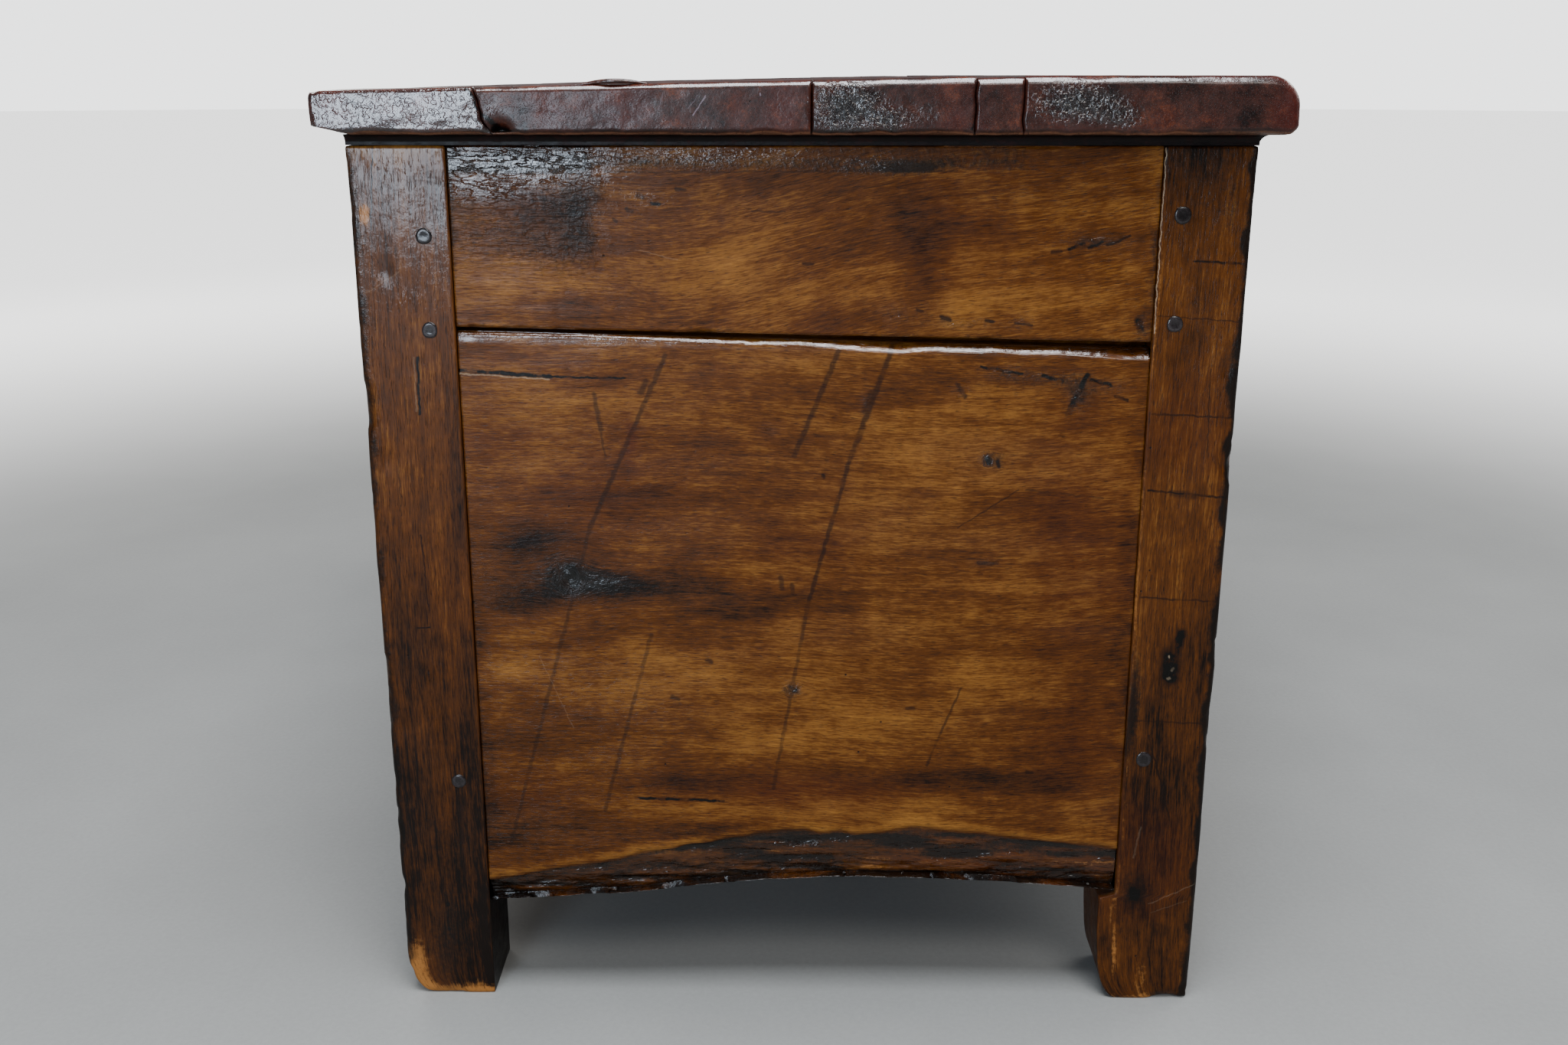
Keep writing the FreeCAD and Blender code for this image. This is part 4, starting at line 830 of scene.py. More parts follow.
        # A darker band along the top of the rail, under the lid
        strip = smooth(wobbleZ, look["stripLow"], look["stripHigh"]) * ends
        grimeAndShade += strip * (0.48 + 0.2 * streaks)
        grimeAndShade += 0.4 * smooth(fromLow, 0.005, 0.0) * smooth(wear, -0.4, 0.6)
    else:
        polish += 0.9 * smooth(fromTop, 0.008, 0.005) * onFace
        grimeAndShade += 0.35 * smooth(fromTop, 0.005, 0.003) * smooth(fromTop, -0.001, 0.002)
        grimeAndShade += 0.45 * smooth(fromLow, 0.007, 0.0)
    if plan["worn"]:
        band = smooth(slope, 0.02, 0.12)
        layers = noise((0.03, 0.06, 0.0035), 43, 2)
        grimeAndShade += band * (0.30 + 0.8 * ridges + 0.6 * smooth(slope, 0.26, 0.06))
        grimeAndShade += band * 0.5 * smooth(layers, 0.0, 0.7)
        bare += band * 0.5 * smooth(noise((0.03, 0.05, 0.003), 39, 2), 0.1, 0.8)
        above = (fromLow - bevelHeight * worn) / 0.009
        tone += 0.14 * smooth(above, 1.0, 0.4) * smooth(above, -0.05, 0.1) - band * 0.10
        crackle += band * 1.1
        polish += band * 0.35
    across = z + 0.004 * np.sin(y * 8 + seed)
    if seen and plan["upper"]:
        across = z - 0.17 * np.clip(0.09 - y, 0, None) ** 1.2
        across += 0.005 * np.sin(y * 13) + 0.002 * np.sin(y * 31)
        corner = smooth(wobbleY, 0.118, 0.130) * smooth(z, 0.488, 0.520) * smooth(wear, -1.0, 0.1)
        grimeAndShade += 0.42 * corner + softSpots(wobbleY, wobbleZ, upperDarkSpots)
        wet = softSpots(wobbleY, wobbleZ, upperWetSpots)
        torn = softSpots(y, z, upperTornSpots)
        grimeAndShade += 0.4 * torn
        crackle += 0.5 * corner + 2.2 * wet + 1.3 * torn
        polish += 1.0 * wet + 0.4 * torn
        tone += softSpots(wobbleY, wobbleZ, upperLightSpots)
    elif seen:
        grimeAndShade += softSpots(wobbleY, wobbleZ, lowerDarkSpots)
        tone += softSpots(wobbleY, wobbleZ, lowerLightSpots)
        red += softSpots(wobbleY, wobbleZ, lowerRedSpots)
        torn = softSpots(y, z, lowerTornSpots)
        grimeAndShade += 0.42 * torn
        crackle += 1.3 * torn
        polish += 0.4 * torn
        across = aroundKnots(y, z, seed)
    inside = smooth((flat[:, 0] - inner) * out, 0.004, 0.001)
    grain = np.stack([y + seed, across, flat[:, 0]], -1)
    values = {
        "grain": grain, "tone": tone, "grimeAndShade": grimeAndShade * (1 - 0.7 * inside), "bare": bare * (1 - inside),
        "red": red * (1 - inside), "dry": inside * 0.9, "crackle": crackle * (1 - inside),
        "onEnd": onFace * float(seen), "polish": polish * (1 - inside),
    }
    if plan["turned"]:
        points, faces = points[:, [1, 0, 2]], faces[:, ::-1]
    return makePiece("worn_" + name, points, faces, "case", [name], finish, values)


longLook = {
    "seamZ": caseTop - 0.113, "gap": 0.002, "frontThick": 0.028, "backThick": 0.022,
    "frontFootZ": 0.076, "frontPeakZ": 0.094, "backFootZ": 0.078, "coarse": 1.75,
}


# Worn lower edge of the front board: it rises in a flat arch, 1 - |u|^2.6 along its length
def frontArchZ(x):
    risen = 1 - np.abs(x / postInnerX) ** 2.6
    return longLook["frontFootZ"] + risen * (longLook["frontPeakZ"] - longLook["frontFootZ"]), risen


# An edge that stays level
def levelEdge(z):
    return lambda along: (np.full(len(along), z), np.zeros(len(along)))


# What a board of an end needs; its height only sets how close its ruled lines lie
def endPlan(side, upper):
    return {
        "seen": side < 0, "out": side, "face": side * endFaceX, "inner": side * endInnerX, "turned": False,
        "span": (boardFrontY, boardBackY), "upper": upper, "worn": not upper, "coarse": 1.5,
        "height": 0.11 if upper else 0.375,
        "lowZ": (lambda y: (seamZ(y), y * 0)) if upper else archZ,
        "highZ": (lambda y: np.full(len(y), caseTop)) if upper else boardTopZ,
    }


# The same for a board of the front or back
def longPlan(wall, upper):
    out = -1 if wall == "front" else 1
    face = (frontY if wall == "front" else backY) - out * endLook["faceInset"]
    thick = longLook[wall + "Thick"]
    reach = postInnerX - joinery["shoulderGap"]
    lower = frontArchZ if wall == "front" else levelEdge(longLook["backFootZ"])
    top = caseTop if upper else longLook["seamZ"] - longLook["gap"]
    return {
        "seen": False, "out": out, "face": face, "inner": face - out * thick, "turned": True,
        "span": (-reach, reach), "upper": upper, "worn": wall == "front" and not upper,
        "coarse": longLook["coarse"], "height": 0.113 if upper else 0.375,
        "lowZ": levelEdge(longLook["seamZ"]) if upper else lower,
        "highZ": lambda x: np.full(len(x), top),
    }


longWood = dict(waxedWood, fibreLong=22.0, cloudLong=5.0, cloudFine=44.0, mottleShare=0.12)
boardFinishes = {
    "end_rail": woodFinish("waxed_walnut_upper_board", waxedWood, upperBoardMarks, upperBoardScratches),
    "end_board": woodFinish("waxed_walnut_lower_board", waxedWood, lowerBoardMarks, lowerBoardScratchesAndLitLip),
    "plain": woodFinish("waxed_walnut_board", longWood),
}
endBoards = [(-1, "end_rail"), (-1, "end_board"), (1, "end_rail"), (1, "end_board")]
for number, (side, part) in enumerate(endBoards):
    name = f"{part}_{'left' if side < 0 else 'right'}"
    finish = boardFinishes[part if side < 0 else "plain"]
    wallBoard(name, endPlan(side, part == "end_rail"), 300 + 60 * number, finish)
longBoards = {}
for number, name in enumerate(["front_rail", "front_board", "back_rail", "back_board"]):
    wall, part = name.split("_")
    plan = longPlan(wall, part == "rail")
    longBoards[name] = wallBoard(name, plan, 700 + 60 * number, boardFinishes["plain"])
print("end, front and back boards made")


# Keyhole through the front rail: a round hole over a slot, cut with a closed cutter of that outline
keyhole = {
    "z": caseTop - 0.036, "radius": 0.0045, "slotHalf": 0.0018, "slotFoot": 0.014,
    "railMiddle": 0.014, "reach": 0.03, "slotTurn": 0.41, "sides": 28,
}


def cutKeyhole(rail):
    look = keyhole
    foot = -0.5 * math.pi
    turn = np.linspace(foot + look["slotTurn"], foot + math.tau - look["slotTurn"], look["sides"])
    x = np.concatenate([look["radius"] * np.cos(turn), [-look["slotHalf"], look["slotHalf"]]])
    z = np.concatenate([look["radius"] * np.sin(turn), [-look["slotFoot"], -look["slotFoot"]]])
    count, middle = len(x), frontY + look["railMiddle"]
    ends = (middle - look["reach"], middle + look["reach"])
    rings = [np.stack([x, np.full(count, y), z + look["z"]], -1) for y in ends]
    first = list(range(count))
    second = list(range(count, 2 * count))
    faces = ringQuads(2, count).tolist() + [first, second[::-1]]
    cutter = addMesh("keyhole_cutter", np.concatenate(rings), faces)
    cut = rail.modifiers.new("keyhole", "BOOLEAN")
    cut.object, cut.operation, cut.solver = cutter, "DIFFERENCE", "EXACT"
    bpy.context.view_layer.update()
    shaped = bpy.data.meshes.new_from_object(rail.evaluated_get(bpy.context.evaluated_depsgraph_get()))
    rail.modifiers.clear()
    rail.data = shaped
    bpy.data.objects.remove(cutter)


cutKeyhole(longBoards["front_rail"])


# Lid

lidLook = {
    "step": 0.0055, "endStep": 0.0013, "endBand": 0.016, "crossStep": 0.0017,
    "backThick": 0.025, "seamArris": 0.0003, "topArris": 0.0007,
    "endArris": {
        "lid_plank_back": 0.0018, "lid_plank_wide": 0.0034, "lid_plank_narrow": 0.0040,
        "lid_repair_strip": 0.0040, "lid_plank_front": 0.0044,
    },
    "noseRound": 0.018, "noseUnder": 0.006, "backUnder": 0.004, "backRound": 0.007,
    "roughEnd": 0.00022, "arrisPower": 1.3, "lowArris": 0.0032, "lowWaver": 0.0011,
    "jointLean": 0.5, "leanFrom": 0.013, "leanReach": 0.020, "leanFade": 0.05,
    "jointJag": 0.0022, "jointWaver": 0.0009, "waverReach": 0.004,
    "edgeBand": 0.005, "edgeStep": 0.001,
    "cutLong": 0.024, "cutHigh": 0.0055, "cutFade": 0.06,
}
lidNodes = ["lid_plank_back", "lid_plank_wide", "lid_plank_narrow", "lid_repair_strip", "lid_plank_front"]
lidBoxes = {node: nodeBox(node) for node in lidNodes}
lidUnder = lidBoxes["lid_plank_back"][0][2]
lidFrontY = lidBoxes["lid_plank_front"][0][1]
lidJoints = [lidBoxes[node][1][1] for node in lidNodes] + [lidFrontY]
toppedBy = ["lid_plank_back", "lid_plank_wide", "lid_plank_narrow", "lid_plank_front", "lid_plank_front"]
lidTops = [lidUnder + lidLook["backThick"]] + [lidBoxes[node][1][2] for node in toppedBy]


# Height of the lid's upper face, straight from joint to joint
def lidTopZ(y):
    return np.interp(-y, [-joint for joint in lidJoints], lidTops)


# A square corner pulled onto a quarter round: (a, b) becomes (a, b) * max(a, b) / sqrt(a^2 + b^2)
def roundCorner(points, cornerY, cornerZ, intoY, intoZ, radius):
    a = 1 - (points[:, 1] - cornerY) * intoY / radius
    b = 1 - (points[:, 2] - cornerZ) * intoZ / radius
    near = (a > 0) & (b > 0)
    scale = np.where(near, np.maximum(a, b) / np.maximum(np.hypot(a, b), 1e-9), 1)
    points[:, 1] = np.where(near, cornerY + (1 - a * scale) * radius * intoY, points[:, 1])
    points[:, 2] = np.where(near, cornerZ + (1 - b * scale) * radius * intoZ, points[:, 2])


# Marks on the lid's photographed end, in metres
lidMarks = [
    (0.1935, 0.606, 0.188, 0.6, 0.9, 1.0), (0.188, 0.6, 0.1895, 0.596, 0.8, 1.0),
    (0.1895, 0.596, 0.183, 0.59, 0.9, 1.0), (0.183, 0.59, 0.177, 0.5845, 1.6, 1.0),
    (0.179, 0.583, 0.169, 0.58, 2.6, 1.0), (-0.0992, 0.611, -0.0985, 0.602, 0.5, 0.9),
    (-0.0985, 0.602, -0.1002, 0.592, 0.6, 0.9), (-0.1002, 0.592, -0.098, 0.583, 0.5, 0.9),
]
# Pale marks on the lid's end: painted glints and thin whitish scratch lines
lidScratchesAndGlints = [
    (0.0559, 0.6016, 0.0627, 0.591, 0.35, 0.75), (0.06, 0.602, 0.0655, 0.5945, 0.2, 0.35),
    (0.08, 0.603, 0.083, 0.594, 0.25, 0.3), (0.024, 0.603, 0.0238, 0.6022, 0.5, 0.8),
    (0.145, 0.596, 0.138, 0.59, 0.25, 0.3), (0.112, 0.5935, 0.106, 0.588, 0.25, 0.3),
]
lidDarkSpots = [
    (-0.025, 0.596, 0.019, 0.014, 1.0), (-0.048, 0.588, 0.012, 0.007, 0.6),
    (-0.156, 0.598, 0.024, 0.011, 1.0), (-0.185, 0.59, 0.014, 0.008, 0.5),
    (-0.235, 0.602, 0.02, 0.006, 0.2), (0.18, 0.593, 0.006, 0.01, 0.3),
    (-0.072, 0.592, 0.018, 0.01, 0.3), (0.1, 0.583, 0.05, 0.003, 0.2),
]
# A broken-out corner: the amount is its depth
lidHollows = [(0.1755, 0.5815, 0.005, 0.0042, 0.009)]


# A lid plank is a ruled block stretched up to the rising top, with rough ends and worn arrises
def lidPlank(node, seed):
    look = lidLook
    yLow, yHigh = [corner[1] for corner in lidBoxes[node]]
    top = max(lidTopZ(yHigh), lidTopZ(yLow))
    xs = ruled(-lidEndX, lidEndX, look["step"], look["endBand"], look["endStep"])
    ys = ruled(yLow, yHigh, look["crossStep"] * 1.25, look["edgeBand"], look["edgeStep"])
    zs = ruled(lidUnder, top, look["crossStep"] * 1.1, look["edgeBand"], look["edgeStep"])
    flat, faces = gridBlock((xs, ys, zs))

    def noise(cell, step, layers=3):
        return layeredNoise(flat, cell, seed + step, layers)

    fromEnd = lidEndX - np.abs(flat[:, 0])
    wear = noise((0.03, 0.03, 0.03), 0, 4)
    nearEnd = smooth(fromEnd, 0.014, 0.006)
    upper = smooth(flat[:, 2], lidUnder + 0.006, lidUnder + 0.014)
    endArris = look["lowArris"] + (look["endArris"][node] - look["lowArris"]) * upper
    radius = look["topArris"] + (endArris - look["topArris"]) * nearEnd * (1 + 0.08 * wear)
    # Only the lid's own outer sides are rounded; the sides that meet at a joint stay sharp
    outer = (node == "lid_plank_front") & (flat[:, 1] < (yLow + yHigh) / 2)
    outer |= (node == "lid_plank_back") & (flat[:, 1] > (yLow + yHigh) / 2)
    reach = np.stack([radius, np.where(outer, radius, look["seamArris"]), radius], -1)
    points, normal = roundArrises(flat, reach, look["arrisPower"], squareLong=True)

    y = points[:, 1]
    rise = (lidTopZ(y) - (0.0008 if node == "lid_repair_strip" else 0) - lidUnder) / (top - lidUnder)
    points[:, 2] = lidUnder + (points[:, 2] - lidUnder) * rise
    if node == "lid_plank_front":
        roundCorner(points, yLow, top, 1, -1, look["noseRound"])
        roundCorner(points, yLow, lidUnder, 1, 1, look["noseUnder"])
    if node == "lid_plank_back":
        roundCorner(points, yHigh, lidUnder, -1, 1, look["backUnder"])
        roundCorner(points, yHigh, top, -1, -1, look["backRound"])
        # The outer lower corner is split off along a slope that fades out from the end
        split = look["cutHigh"] * np.clip(1 - (yHigh - points[:, 1]) / look["cutLong"], 0, 1)
        split = split * smooth(fromEnd, look["cutFade"], 0.0) * (flat[:, 0] < 0)
        points[:, 2] = np.maximum(points[:, 2], lidUnder + split)
    # The joint beside the back plank leans and wavers near the photographed end
    joint = lidJoints[1]
    nearJoint = np.clip(1 - np.abs(points[:, 1] - joint) / look["leanReach"], 0, 1)
    heights = np.stack([points[:, 2] * 0, points[:, 2] * 0, points[:, 2]], -1)
    lean = look["jointLean"] * (points[:, 2] - lidUnder - look["leanFrom"])
    lean += look["jointJag"] * cellNoise(heights, 0.006, 77)
    points[:, 1] += lean * nearJoint * smooth(fromEnd, look["leanFade"], 0.0) * (flat[:, 0] < 0)
    for place, joint in enumerate(lidJoints[3:5]):
        nearJoint = np.exp(-((flat[:, 1] - joint) / look["waverReach"]) ** 2)
        nearJoint *= smooth(fromEnd, look["leanFade"], 0.0)
        points[:, 1] += look["jointWaver"] * cellNoise(heights, 0.007, 81 + place) * nearJoint
    onEndFace = smooth(np.abs(normal[:, 0]), 0.5, 0.9)
    rough = noise((0.05, 0.016, 0.008), 3)
    pits = smooth(noise((0.02, 0.0035, 0.0035), 7, 1), 0.2, 0.8)
    photographed = flat[:, 0] < 0
    dark = softSpots(y, points[:, 2], lidDarkSpots) * photographed
    relief = look["roughEnd"] * rough - 0.0009 * pits * np.clip(dark + 0.05, 0, 1)
    if node == "lid_plank_back":
        relief += 0.00016 * noise((0.05, 0.009, 0.003), 8, 2)
    relief -= softSpots(y, points[:, 2], lidHollows) * photographed
    points[:, 0] += np.sign(flat[:, 0]) * np.clip(relief, -0.008, 0.0007) * onEndFace
    topFace = smooth(normal[:, 2], 0.5, 0.9)
    points[:, 2] += topFace * 0.00025 * noise((0.12, 0.03, 0.05), 9)
    low = smooth(points[:, 2] - lidUnder, 0.008, 0.001) * smooth(fromEnd, 0.012, 0.004)
    waver = np.abs(layeredNoise(flat * (1, 1, 0), (0.05, 0.022, 1.0), 1500, 3))
    points[:, 2] += low * look["lowWaver"] * waver

    streaks = noise((0.16, 0.008, 0.05), 21)
    broad = noise((0.16, 0.03, 0.05), 23)
    endTone = noise((0.1, 0.02, 0.014), 25)
    under = smooth(normal[:, 2], -0.5, -0.9)
    tone = (0.06 * streaks + 0.08 * broad) * (1 - onEndFace) + 0.08 * under
    tone += onEndFace * (0.08 * endTone - 0.06)
    grimeAndShade = dark * onEndFace + 0.2 * smooth(streaks + broad, 0.8, 1.7)
    edge = np.minimum(yHigh - y, y - yLow)
    grimeAndShade += 0.45 * smooth(edge, 0.0006, 0.0) + 0.2 * onEndFace * smooth(endTone, 0.4, 1.0)
    grimeAndShade += 0.55 * smooth(points[:, 2] - lidUnder, 0.006, 0.001) * smooth(wear, -0.9, 0.3)
    red = 0.10 * smooth(endTone, -0.2, 0.8) * onEndFace + 0.25 * smooth(broad, 0.0, 0.8)
    red += 0.5 * (1 - onEndFace) * smooth(fromEnd, 0.01, 0.0) * smooth(wear, -0.3, 0.5)
    red += 0.5 * smooth(y, lidFrontY + 0.02, lidFrontY) * (1 - under)
    bare = 0.35 * smooth(wear, 0.3, 1.0) * smooth(np.abs(normal[:, 0]) * normal[:, 2], 0.15, 0.45)
    wet = smooth(dark, 0.15, 0.6) * onEndFace
    crackle = 0.03 * onEndFace + 1.0 * wet + 0.05 * smooth(broad, 0.3, 1.0)
    polish = 0.3 * smooth(broad, 0.0, 1.0) * (1 - onEndFace) + 0.8 * wet
    polish += 0.9 * smooth(np.abs(normal[:, 0]) * normal[:, 2], 0.1, 0.3)
    if node == "lid_plank_back":
        crackle += 0.16 * onEndFace * photographed
        polish += 0.9 * onEndFace * photographed
    grain = np.stack([flat[:, 0] + seed, y + 0.004 * np.sin(flat[:, 0] * 6 + seed), flat[:, 2]], -1)
    values = {
        "grain": grain, "tone": tone, "grimeAndShade": grimeAndShade * (1 - 0.85 * under), "bare": bare,
        "red": red * (1 - under), "crackle": crackle * (1 - under), "onEnd": onEndFace * photographed,
        "polish": polish * (1 - under), "dry": 0.75 * under,
    }
    makePiece("worn_" + node, points, faces, "lid", [node], lidFinish, values)


lidWood = dict(
    waxedWood,
    dark=rgb(20, 8, 6), middle=rgb(55, 26, 18), light=rgb(106, 52, 26),
    grimeAndShade=rgb(6, 5, 5), stain=rgb(8, 5, 4), red=rgb(78, 16, 10),
    bare=rgb(130, 72, 46), scratchAndGlint=rgb(150, 134, 146), dryDark=rgb(74, 46, 32), dryLight=rgb(112, 76, 54),
    fleckLong=420.0, fleckFine=700.0, fibreLong=120.0, fibreFine=200.0, mottleShare=0.4,
    blisterLong=250.0, blisterFine=300.0, blisterHeight=2.6,
    gloss=0.36, shine=0.28, wax=0.1,
)
lidFinish = woodFinish("polished_lid_walnut", lidWood, lidMarks, lidScratchesAndGlints)
for number, node in enumerate(lidNodes):
    lidPlank(node, 1200 + 40 * number)
print("lid planks made")


# A sliver lifted off the lid's top arris: a thin lens carried along a bow, z = bow * sin(pi * u)^0.8
sliverLook = {
    "from": 0.131, "to": 0.088, "bow": 0.0022, "thick": 0.0015, "deep": 0.0024, "inset": 0.0034,
    "rings": 25, "sides": 10, "grimeAndShade": 0.35, "polish": 0.4,
}


def liftedSliver(seed):
    look = sliverLook
    u = np.linspace(0, 1, look["rings"])
    turn = np.arange(look["sides"]) / look["sides"] * math.tau
    swell = np.sin(np.pi * u)
    y = look["from"] + (look["to"] - look["from"]) * u
    z = lidTopZ(y) - 0.0005 + look["bow"] * swell ** 0.8
    x = -lidEndX + look["inset"] + 0.0006 * np.sin(u * 9)
    deep, thick = look["deep"] * (0.15 + 0.85 * swell), look["thick"] * (0.3 + 0.7 * swell)
    points = np.stack([
        x[:, None] + deep[:, None] * np.cos(turn),
        y[:, None] + turn * 0,
        z[:, None] + thick[:, None] * np.sin(turn),
    ], -1).reshape(-1, 3)
    marks = {label: np.full(len(points), look[label]) for label in ("grimeAndShade", "polish")}
    marks["grain"] = np.stack([points[:, 1] + seed, points[:, 2], points[:, 0]], -1)
    faces = ringQuads(look["rings"], look["sides"])
    piece = makePiece("lifted_sliver", points, faces, "lid", [], lidFinish, marks)
    closeCaps(piece)


# Open ends are closed, points that fall together are joined, and every face is turned outwards
def closeCaps(piece):
    shape = bmesh.new()
    shape.from_mesh(piece.data)
    bmesh.ops.remove_doubles(shape, verts=shape.verts, dist=1e-6)
    bmesh.ops.holes_fill(shape, edges=shape.edges, sides=24)
    bmesh.ops.recalc_face_normals(shape, faces=shape.faces)
    shape.to_mesh(piece.data)
    shape.free()
    piece.data.shade_smooth()


liftedSliver(1490)


# Riven wooden pegs: a head is a profile of rings turned about its axis, its outline out of round

pegLook = {
    "radius": 0.0052, "proud": 0.0006, "outOfRound": 0.0004, "sides": 20,
    "backInset": 0.016, "frontInset": 0.013,
    "backDrops": (0.053, 0.110), "frontDrops": (0.040, 0.105), "backLowZ": 0.161, "frontLowZ": 0.180,
    "longDrops": (0.024, 0.072), "longLowZ": 0.205,
}
# Rings of a head: their share of its radius, and their height as a share of how proud it stands
pegProfile = np.array([(0, 0.7), (0.4, 0.8), (0.7, 1), (0.88, 0.8), (0.98, 0), (1, -2), (1, -9)])


# Each place is (centre, direction that the peg points)
def pegHeads(name, places, seed):
    look = pegLook
    rings, count = len(pegProfile), look["sides"]
    turn = np.arange(count) / count * math.tau
    circle = np.stack([np.cos(turn), np.sin(turn), turn * 0], -1)
    height = pegProfile[:, 1, None] * look["proud"] + turn * 0
    points, faces, tones = [], [], []
    for number, (centre, out) in enumerate(places):
        wobble = look["outOfRound"] * cellNoise(circle, 0.9, seed + number)
        radius = pegProfile[:, 0, None] * (look["radius"] + wobble)
        spokes = circle[:, :1] * np.cross(out, (0, 0, 1)) + circle[:, 1:2] * (0, 0, 1)
        head = np.array(centre) + radius[..., None] * spokes + height[..., None] * np.array(out)
        points.append(head.reshape(-1, 3))
        faces.append(ringQuads(rings, count) + number * rings * count)
        tones.append(np.repeat(cellNoise(np.array([centre]), 0.01, seed), rings * count))
    points, faces = np.concatenate(points), np.concatenate(faces)
    fromRim = np.tile(np.repeat(pegProfile[:, 0], count), len(places))
    worn = np.full(len(points), 0.3)
    marks = {
        "grain": points + seed,
        "tone": np.concatenate(tones) * 0.12 + 0.16 * np.exp(-((fromRim - 0.72) / 0.16) ** 2),
        "grimeAndShade": 0.9 * smooth(fromRim, 0.88, 0.98), "crackle": worn, "polish": worn,
    }
    piece = makePiece("riven_" + name, points, faces, "case", [name], pegFinish, marks)
    closeCaps(piece)


pegWood = dict(
    waxedWood, dark=rgb(9, 7, 7), middle=rgb(24, 19, 19), light=rgb(56, 50, 52), gloss=0.36, wax=0.1,
)
pegFinish = woodFinish("dark_peg_wood", pegWood)
pegBackY, pegFrontY = backInnerY + pegLook["backInset"], frontInnerY - pegLook["frontInset"]
endHoles = [(pegBackY, caseTop - drop) for drop in pegLook["backDrops"]]
endHoles += [(pegFrontY, caseTop - drop) for drop in pegLook["frontDrops"]]
endHoles += [(pegBackY, pegLook["backLowZ"]), (pegFrontY, pegLook["frontLowZ"])]
for number, (side, label) in enumerate(((-1, "left"), (1, "right"))):
    places = [((side * endX, y, z), (side, 0, 0)) for y, z in endHoles]
    pegHeads("pegs_end_" + label, places, 2000 + 40 * number)
heights = [caseTop - drop for drop in pegLook["longDrops"]] + [pegLook["longLowZ"]]
for number, (wall, y, out) in enumerate((("front", frontY, -1), ("back", backY, 1))):
    pegX = nodeBox("pegs_" + wall)[1][0] - pegLook["radius"]
    places = [((side * pegX, y, z), (0, out, 0)) for side in (-1, 1) for z in heights]
    pegHeads("pegs_" + wall, places, 2100 + 40 * number)
print("pegs made")


# Nodes that keep their own shape

forgedIron = {
    "dark": rgb(20, 19, 19), "light": rgb(66, 60, 56), "rust": rgb(74, 38, 22),
    "roughness": 0.3, "metal": 0.85, "bump": 0.4, "bumpReach": 0.0008,
}


# Forged iron: hammered hollows and a dark scale, browned here and there
def ironFinish():
    look = forgedIron
    made = Finish("forged_dark_iron")
    place = made.add("TexCoord", 3)
    hammer = made.noise(place, 70, 3, 0.5)
    scale = made.noise(place, 420, 4, 0.65)
    rust = made.between(made.noise(place, 38, 5, 0.65), 0.56, 0.74)
    level = made.math("MULTIPLY_ADD", hammer, 0.5, made.math("MULTIPLY", scale, 0.5))
    colour = made.blend(level, look["dark"], look["light"])
    colour = made.blend(made.math("MULTIPLY", rust, 0.6), colour, look["rust"])
    height = made.math("MULTIPLY_ADD", scale, 0.35, hammer)
    bump = made.add("Bump", 0, {"Height": height, "Strength": look["bump"], "Distance": look["bumpReach"]})
    rough = made.math("MULTIPLY_ADD", scale, 0.25, made.math("MULTIPLY_ADD", rust, 0.2, look["roughness"]))
    return made.close({"Base Color": colour, "Roughness": rough, "Normal": bump, "Metallic": look["metal"]})


dryWood = dict(
    waxedWood, dark=rgb(70, 44, 26), middle=rgb(124, 84, 50), light=rgb(172, 130, 86), grimeAndShade=rgb(40, 28, 20),
    gloss=0.62, shine=0.3, wax=0.0, bump=0.45,
)
# Painted shade: the lid's mouldings are coloured near black with a faint red, as they look in the shadow
# under the lid
shadowDarkMouldingWood = dict(
    lidWood, dark=rgb(5, 3, 3), middle=rgb(14, 5, 4), light=rgb(44, 10, 8), wax=0.0, shine=0.14, gloss=0.42,
)
ironMade = ironFinish()
keptFinishes = {
    "x": woodFinish("dry_inner_walnut_lengthwise", dryWood, along="x"),
    "y": woodFinish("dry_inner_walnut_crosswise", dryWood, along="y"),
    "lid_x": woodFinish("shadow_dark_moulding_lengthwise", shadowDarkMouldingWood, along="x"),
    "lid_y": woodFinish("shadow_dark_moulding_crosswise", shadowDarkMouldingWood, along="y"),
}
for node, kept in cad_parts.items():
    if kept.hide_render:
        continue
    low, high = nodeBox(node)
    lengthwise = "x" if high[0] - low[0] > high[1] - low[1] else "y"
    if node.startswith(("floor_", "till_")) and "nails" not in node:
        chosen = keptFinishes[lengthwise]
    elif node.startswith(("lid_moulding", "lid_strip")):
        chosen = keptFinishes["lid_" + lengthwise]
    else:
        chosen = ironMade
    kept.data.materials.clear()
    kept.data.materials.append(chosen)
print("finishes laid on the kept nodes")


# Floor, light and camera

floorLook = {
    "near": (rgb(122, 123, 122), rgb(160, 161, 159)), "far": rgb(222, 222, 221),
    "fadeFrom": 1.0, "fadeTo": 3.4, "reach": 30.0, "glow": 2.6, "roughness": 0.6, "shine": 0.25,
    "rings": 16, "sides": 72,
}


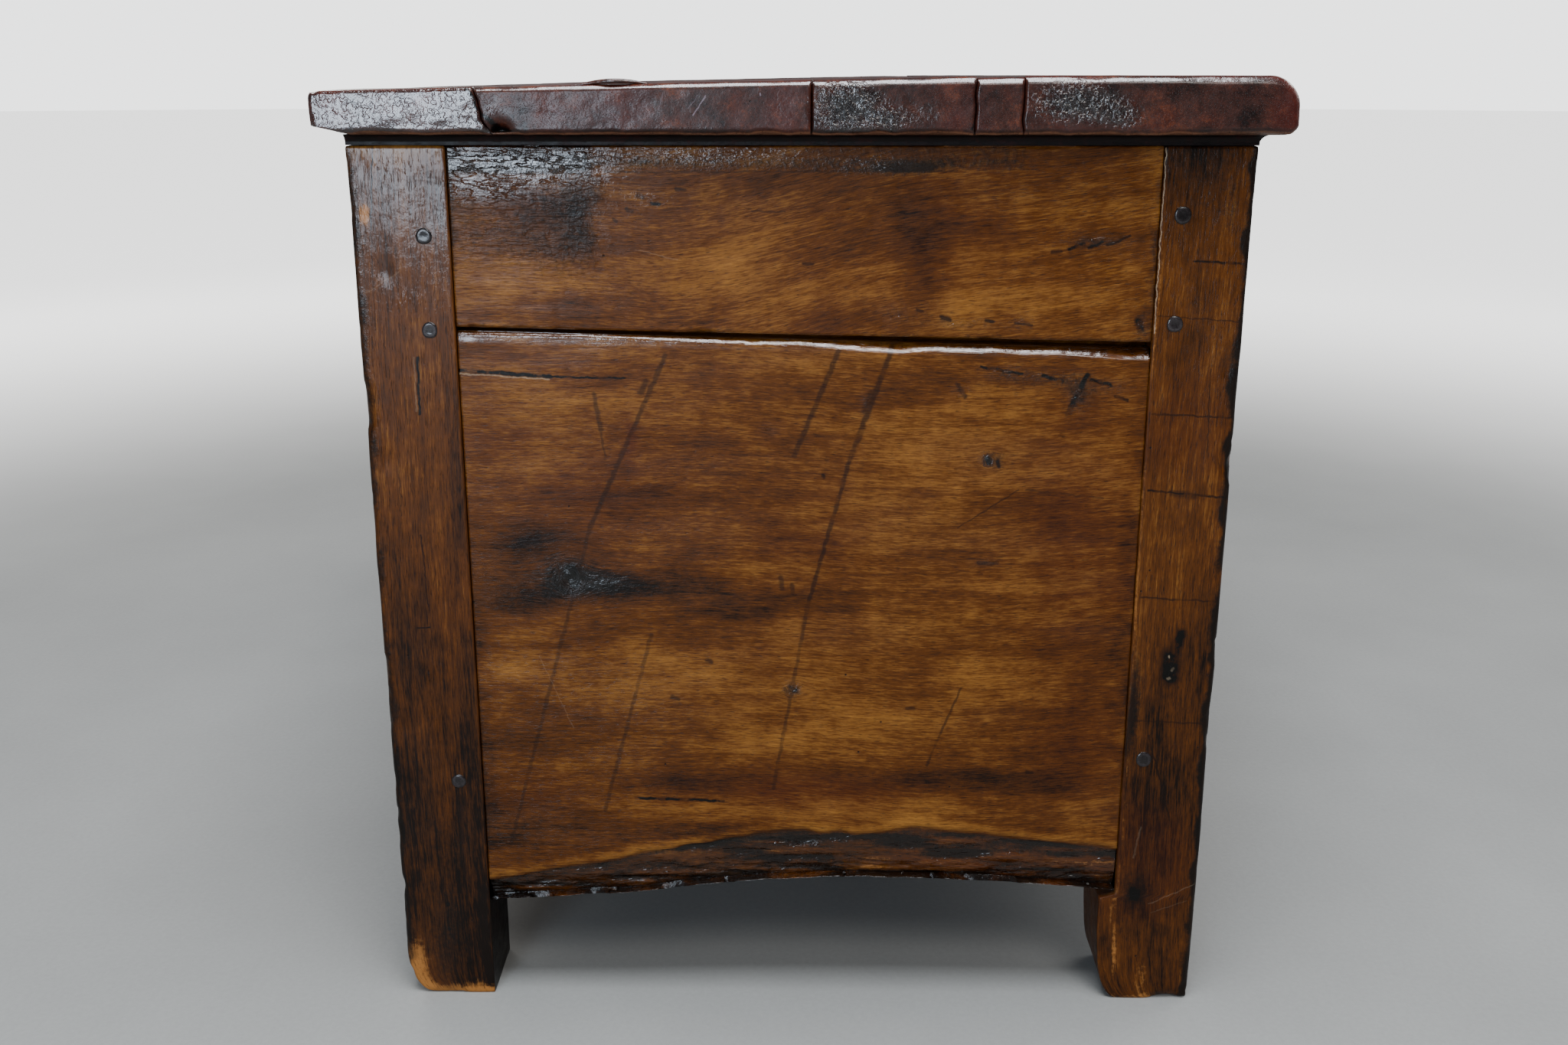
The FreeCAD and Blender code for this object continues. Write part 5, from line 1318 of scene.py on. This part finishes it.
# A round floor of rings whose radius grows as t^3, greyer near the chest and paler away from it
def stageFloor():
    look = floorLook
    rings, count = look["rings"], look["sides"]
    turn = np.arange(count) / count * math.tau
    reach = look["reach"] * np.linspace(0.05, 1, rings) ** 3
    x, y = np.outer(reach, np.cos(turn)), np.outer(reach, np.sin(turn))
    points = np.stack([x, y, x * 0], -1)
    faces = ringQuads(rings, count).tolist() + [list(range(count))]
    floor = addMesh("studio_floor", points.reshape(-1, 3), faces)
    made = Finish("pale_floor")
    place = made.add("TexCoord", 3)
    clouds = made.noise(place, 3.0, 5, 0.6)
    grit = made.noise(place, 240.0, 3, 0.7)
    level = made.math("MULTIPLY_ADD", grit, 0.4, made.math("MULTIPLY", clouds, 0.6))
    away = made.vectors("LENGTH", place, output=1)
    fade = made.between(away, look["fadeFrom"], look["fadeTo"])
    colour = made.blend(fade, made.blend(level, *look["near"]), look["far"])
    # Far off, the floor shows as pale as the backdrop, without lighting the chest
    seenByCamera = made.add("LightPath")
    glow = made.math("MULTIPLY", made.math("MULTIPLY", seenByCamera, fade), look["glow"])
    floor.data.materials.append(made.close({
        "Base Color": colour, "Roughness": look["roughness"], "Specular IOR Level": look["shine"],
        "Emission Color": look["far"], "Emission Strength": glow,
    }))


def areaLight(name, place, aim, size, power, colour):
    light = bpy.data.lights.new(name, "AREA")
    light.shape, light.size, light.size_y = "RECTANGLE", size[0], size[1]
    light.energy, light.color = power, colour
    lamp = addObject(name, light)
    lamp.location = place
    lamp.rotation_mode = "QUATERNION"
    lamp.rotation_quaternion = (Vector(aim) - Vector(place)).to_track_quat("-Z", "Y")


studio = {
    "world": {"Color": (0.88, 0.92, 1.0, 1), "Strength": 0.2},
    "backdrop": {"Color": (0.93, 0.94, 0.945, 1), "Strength": 2.8},
    "cameraPlace": (-endX - 0.931, -0.00325, 0.613),
    "pitch": 16.25, "yaw": 0.87, "lens": 35.24, "sensor": 36.0,
}
# Place, aim, size, power and colour of each light
warm = (1.0, 0.97, 0.93)
studioLights = {
    "window": ((-3.2, 0.90, 0.80), (-0.6, 0.2, 0.5), (0.8, 1.05), 44, (0.74, 0.86, 1.0)),
    "ceiling": ((-0.95, -0.05, 2.6), (-0.7, -0.05, 0.4), (1.35, 1.2), 96, (0.93, 0.96, 1.0)),
    "key": ((-2.3, -0.7, 2.1), (-0.5, 0, 0.3), (1.0, 0.8), 24, warm),
    "fill": ((1.4, -2.4, 1.9), (0, 0, 0.3), (1.8, 1.6), 40, warm),
    "far": ((2.4, 1.9, 1.9), (0, 0, 0.3), (1.8, 1.6), 40, warm),
}


# The camera sees the backdrop, and the chest is lit by the world's own colour and the lights
def studioScene():
    world = bpy.data.worlds.new("pale_studio")
    world.use_nodes = True
    made = Wiring(world.node_tree)
    back, end = made.tree.nodes["Background"], made.tree.nodes["World Output"]
    for name, value in studio["world"].items():
        made.plug(back.inputs[name], value)
    shown = made.add("Background", 0, studio["backdrop"])
    chosen = made.add("MixShader", 0, {0: made.add("LightPath"), 1: back.outputs[0], 2: shown})
    made.plug(end.inputs["Surface"], chosen)
    bpy.context.scene.world = world
    for name, setting in studioLights.items():
        areaLight(name + "_light", *setting)
    camera = bpy.data.cameras.new("photo_camera")
    camera.lens, camera.sensor_width = studio["lens"], studio["sensor"]
    eye = addObject("photo_camera", camera)
    eye.location = studio["cameraPlace"]
    eye.rotation_euler = (math.radians(90 - studio["pitch"]), 0, math.radians(studio["yaw"] - 90))
    bpy.context.scene.camera = eye


stageFloor()
studioScene()
print("studio made")
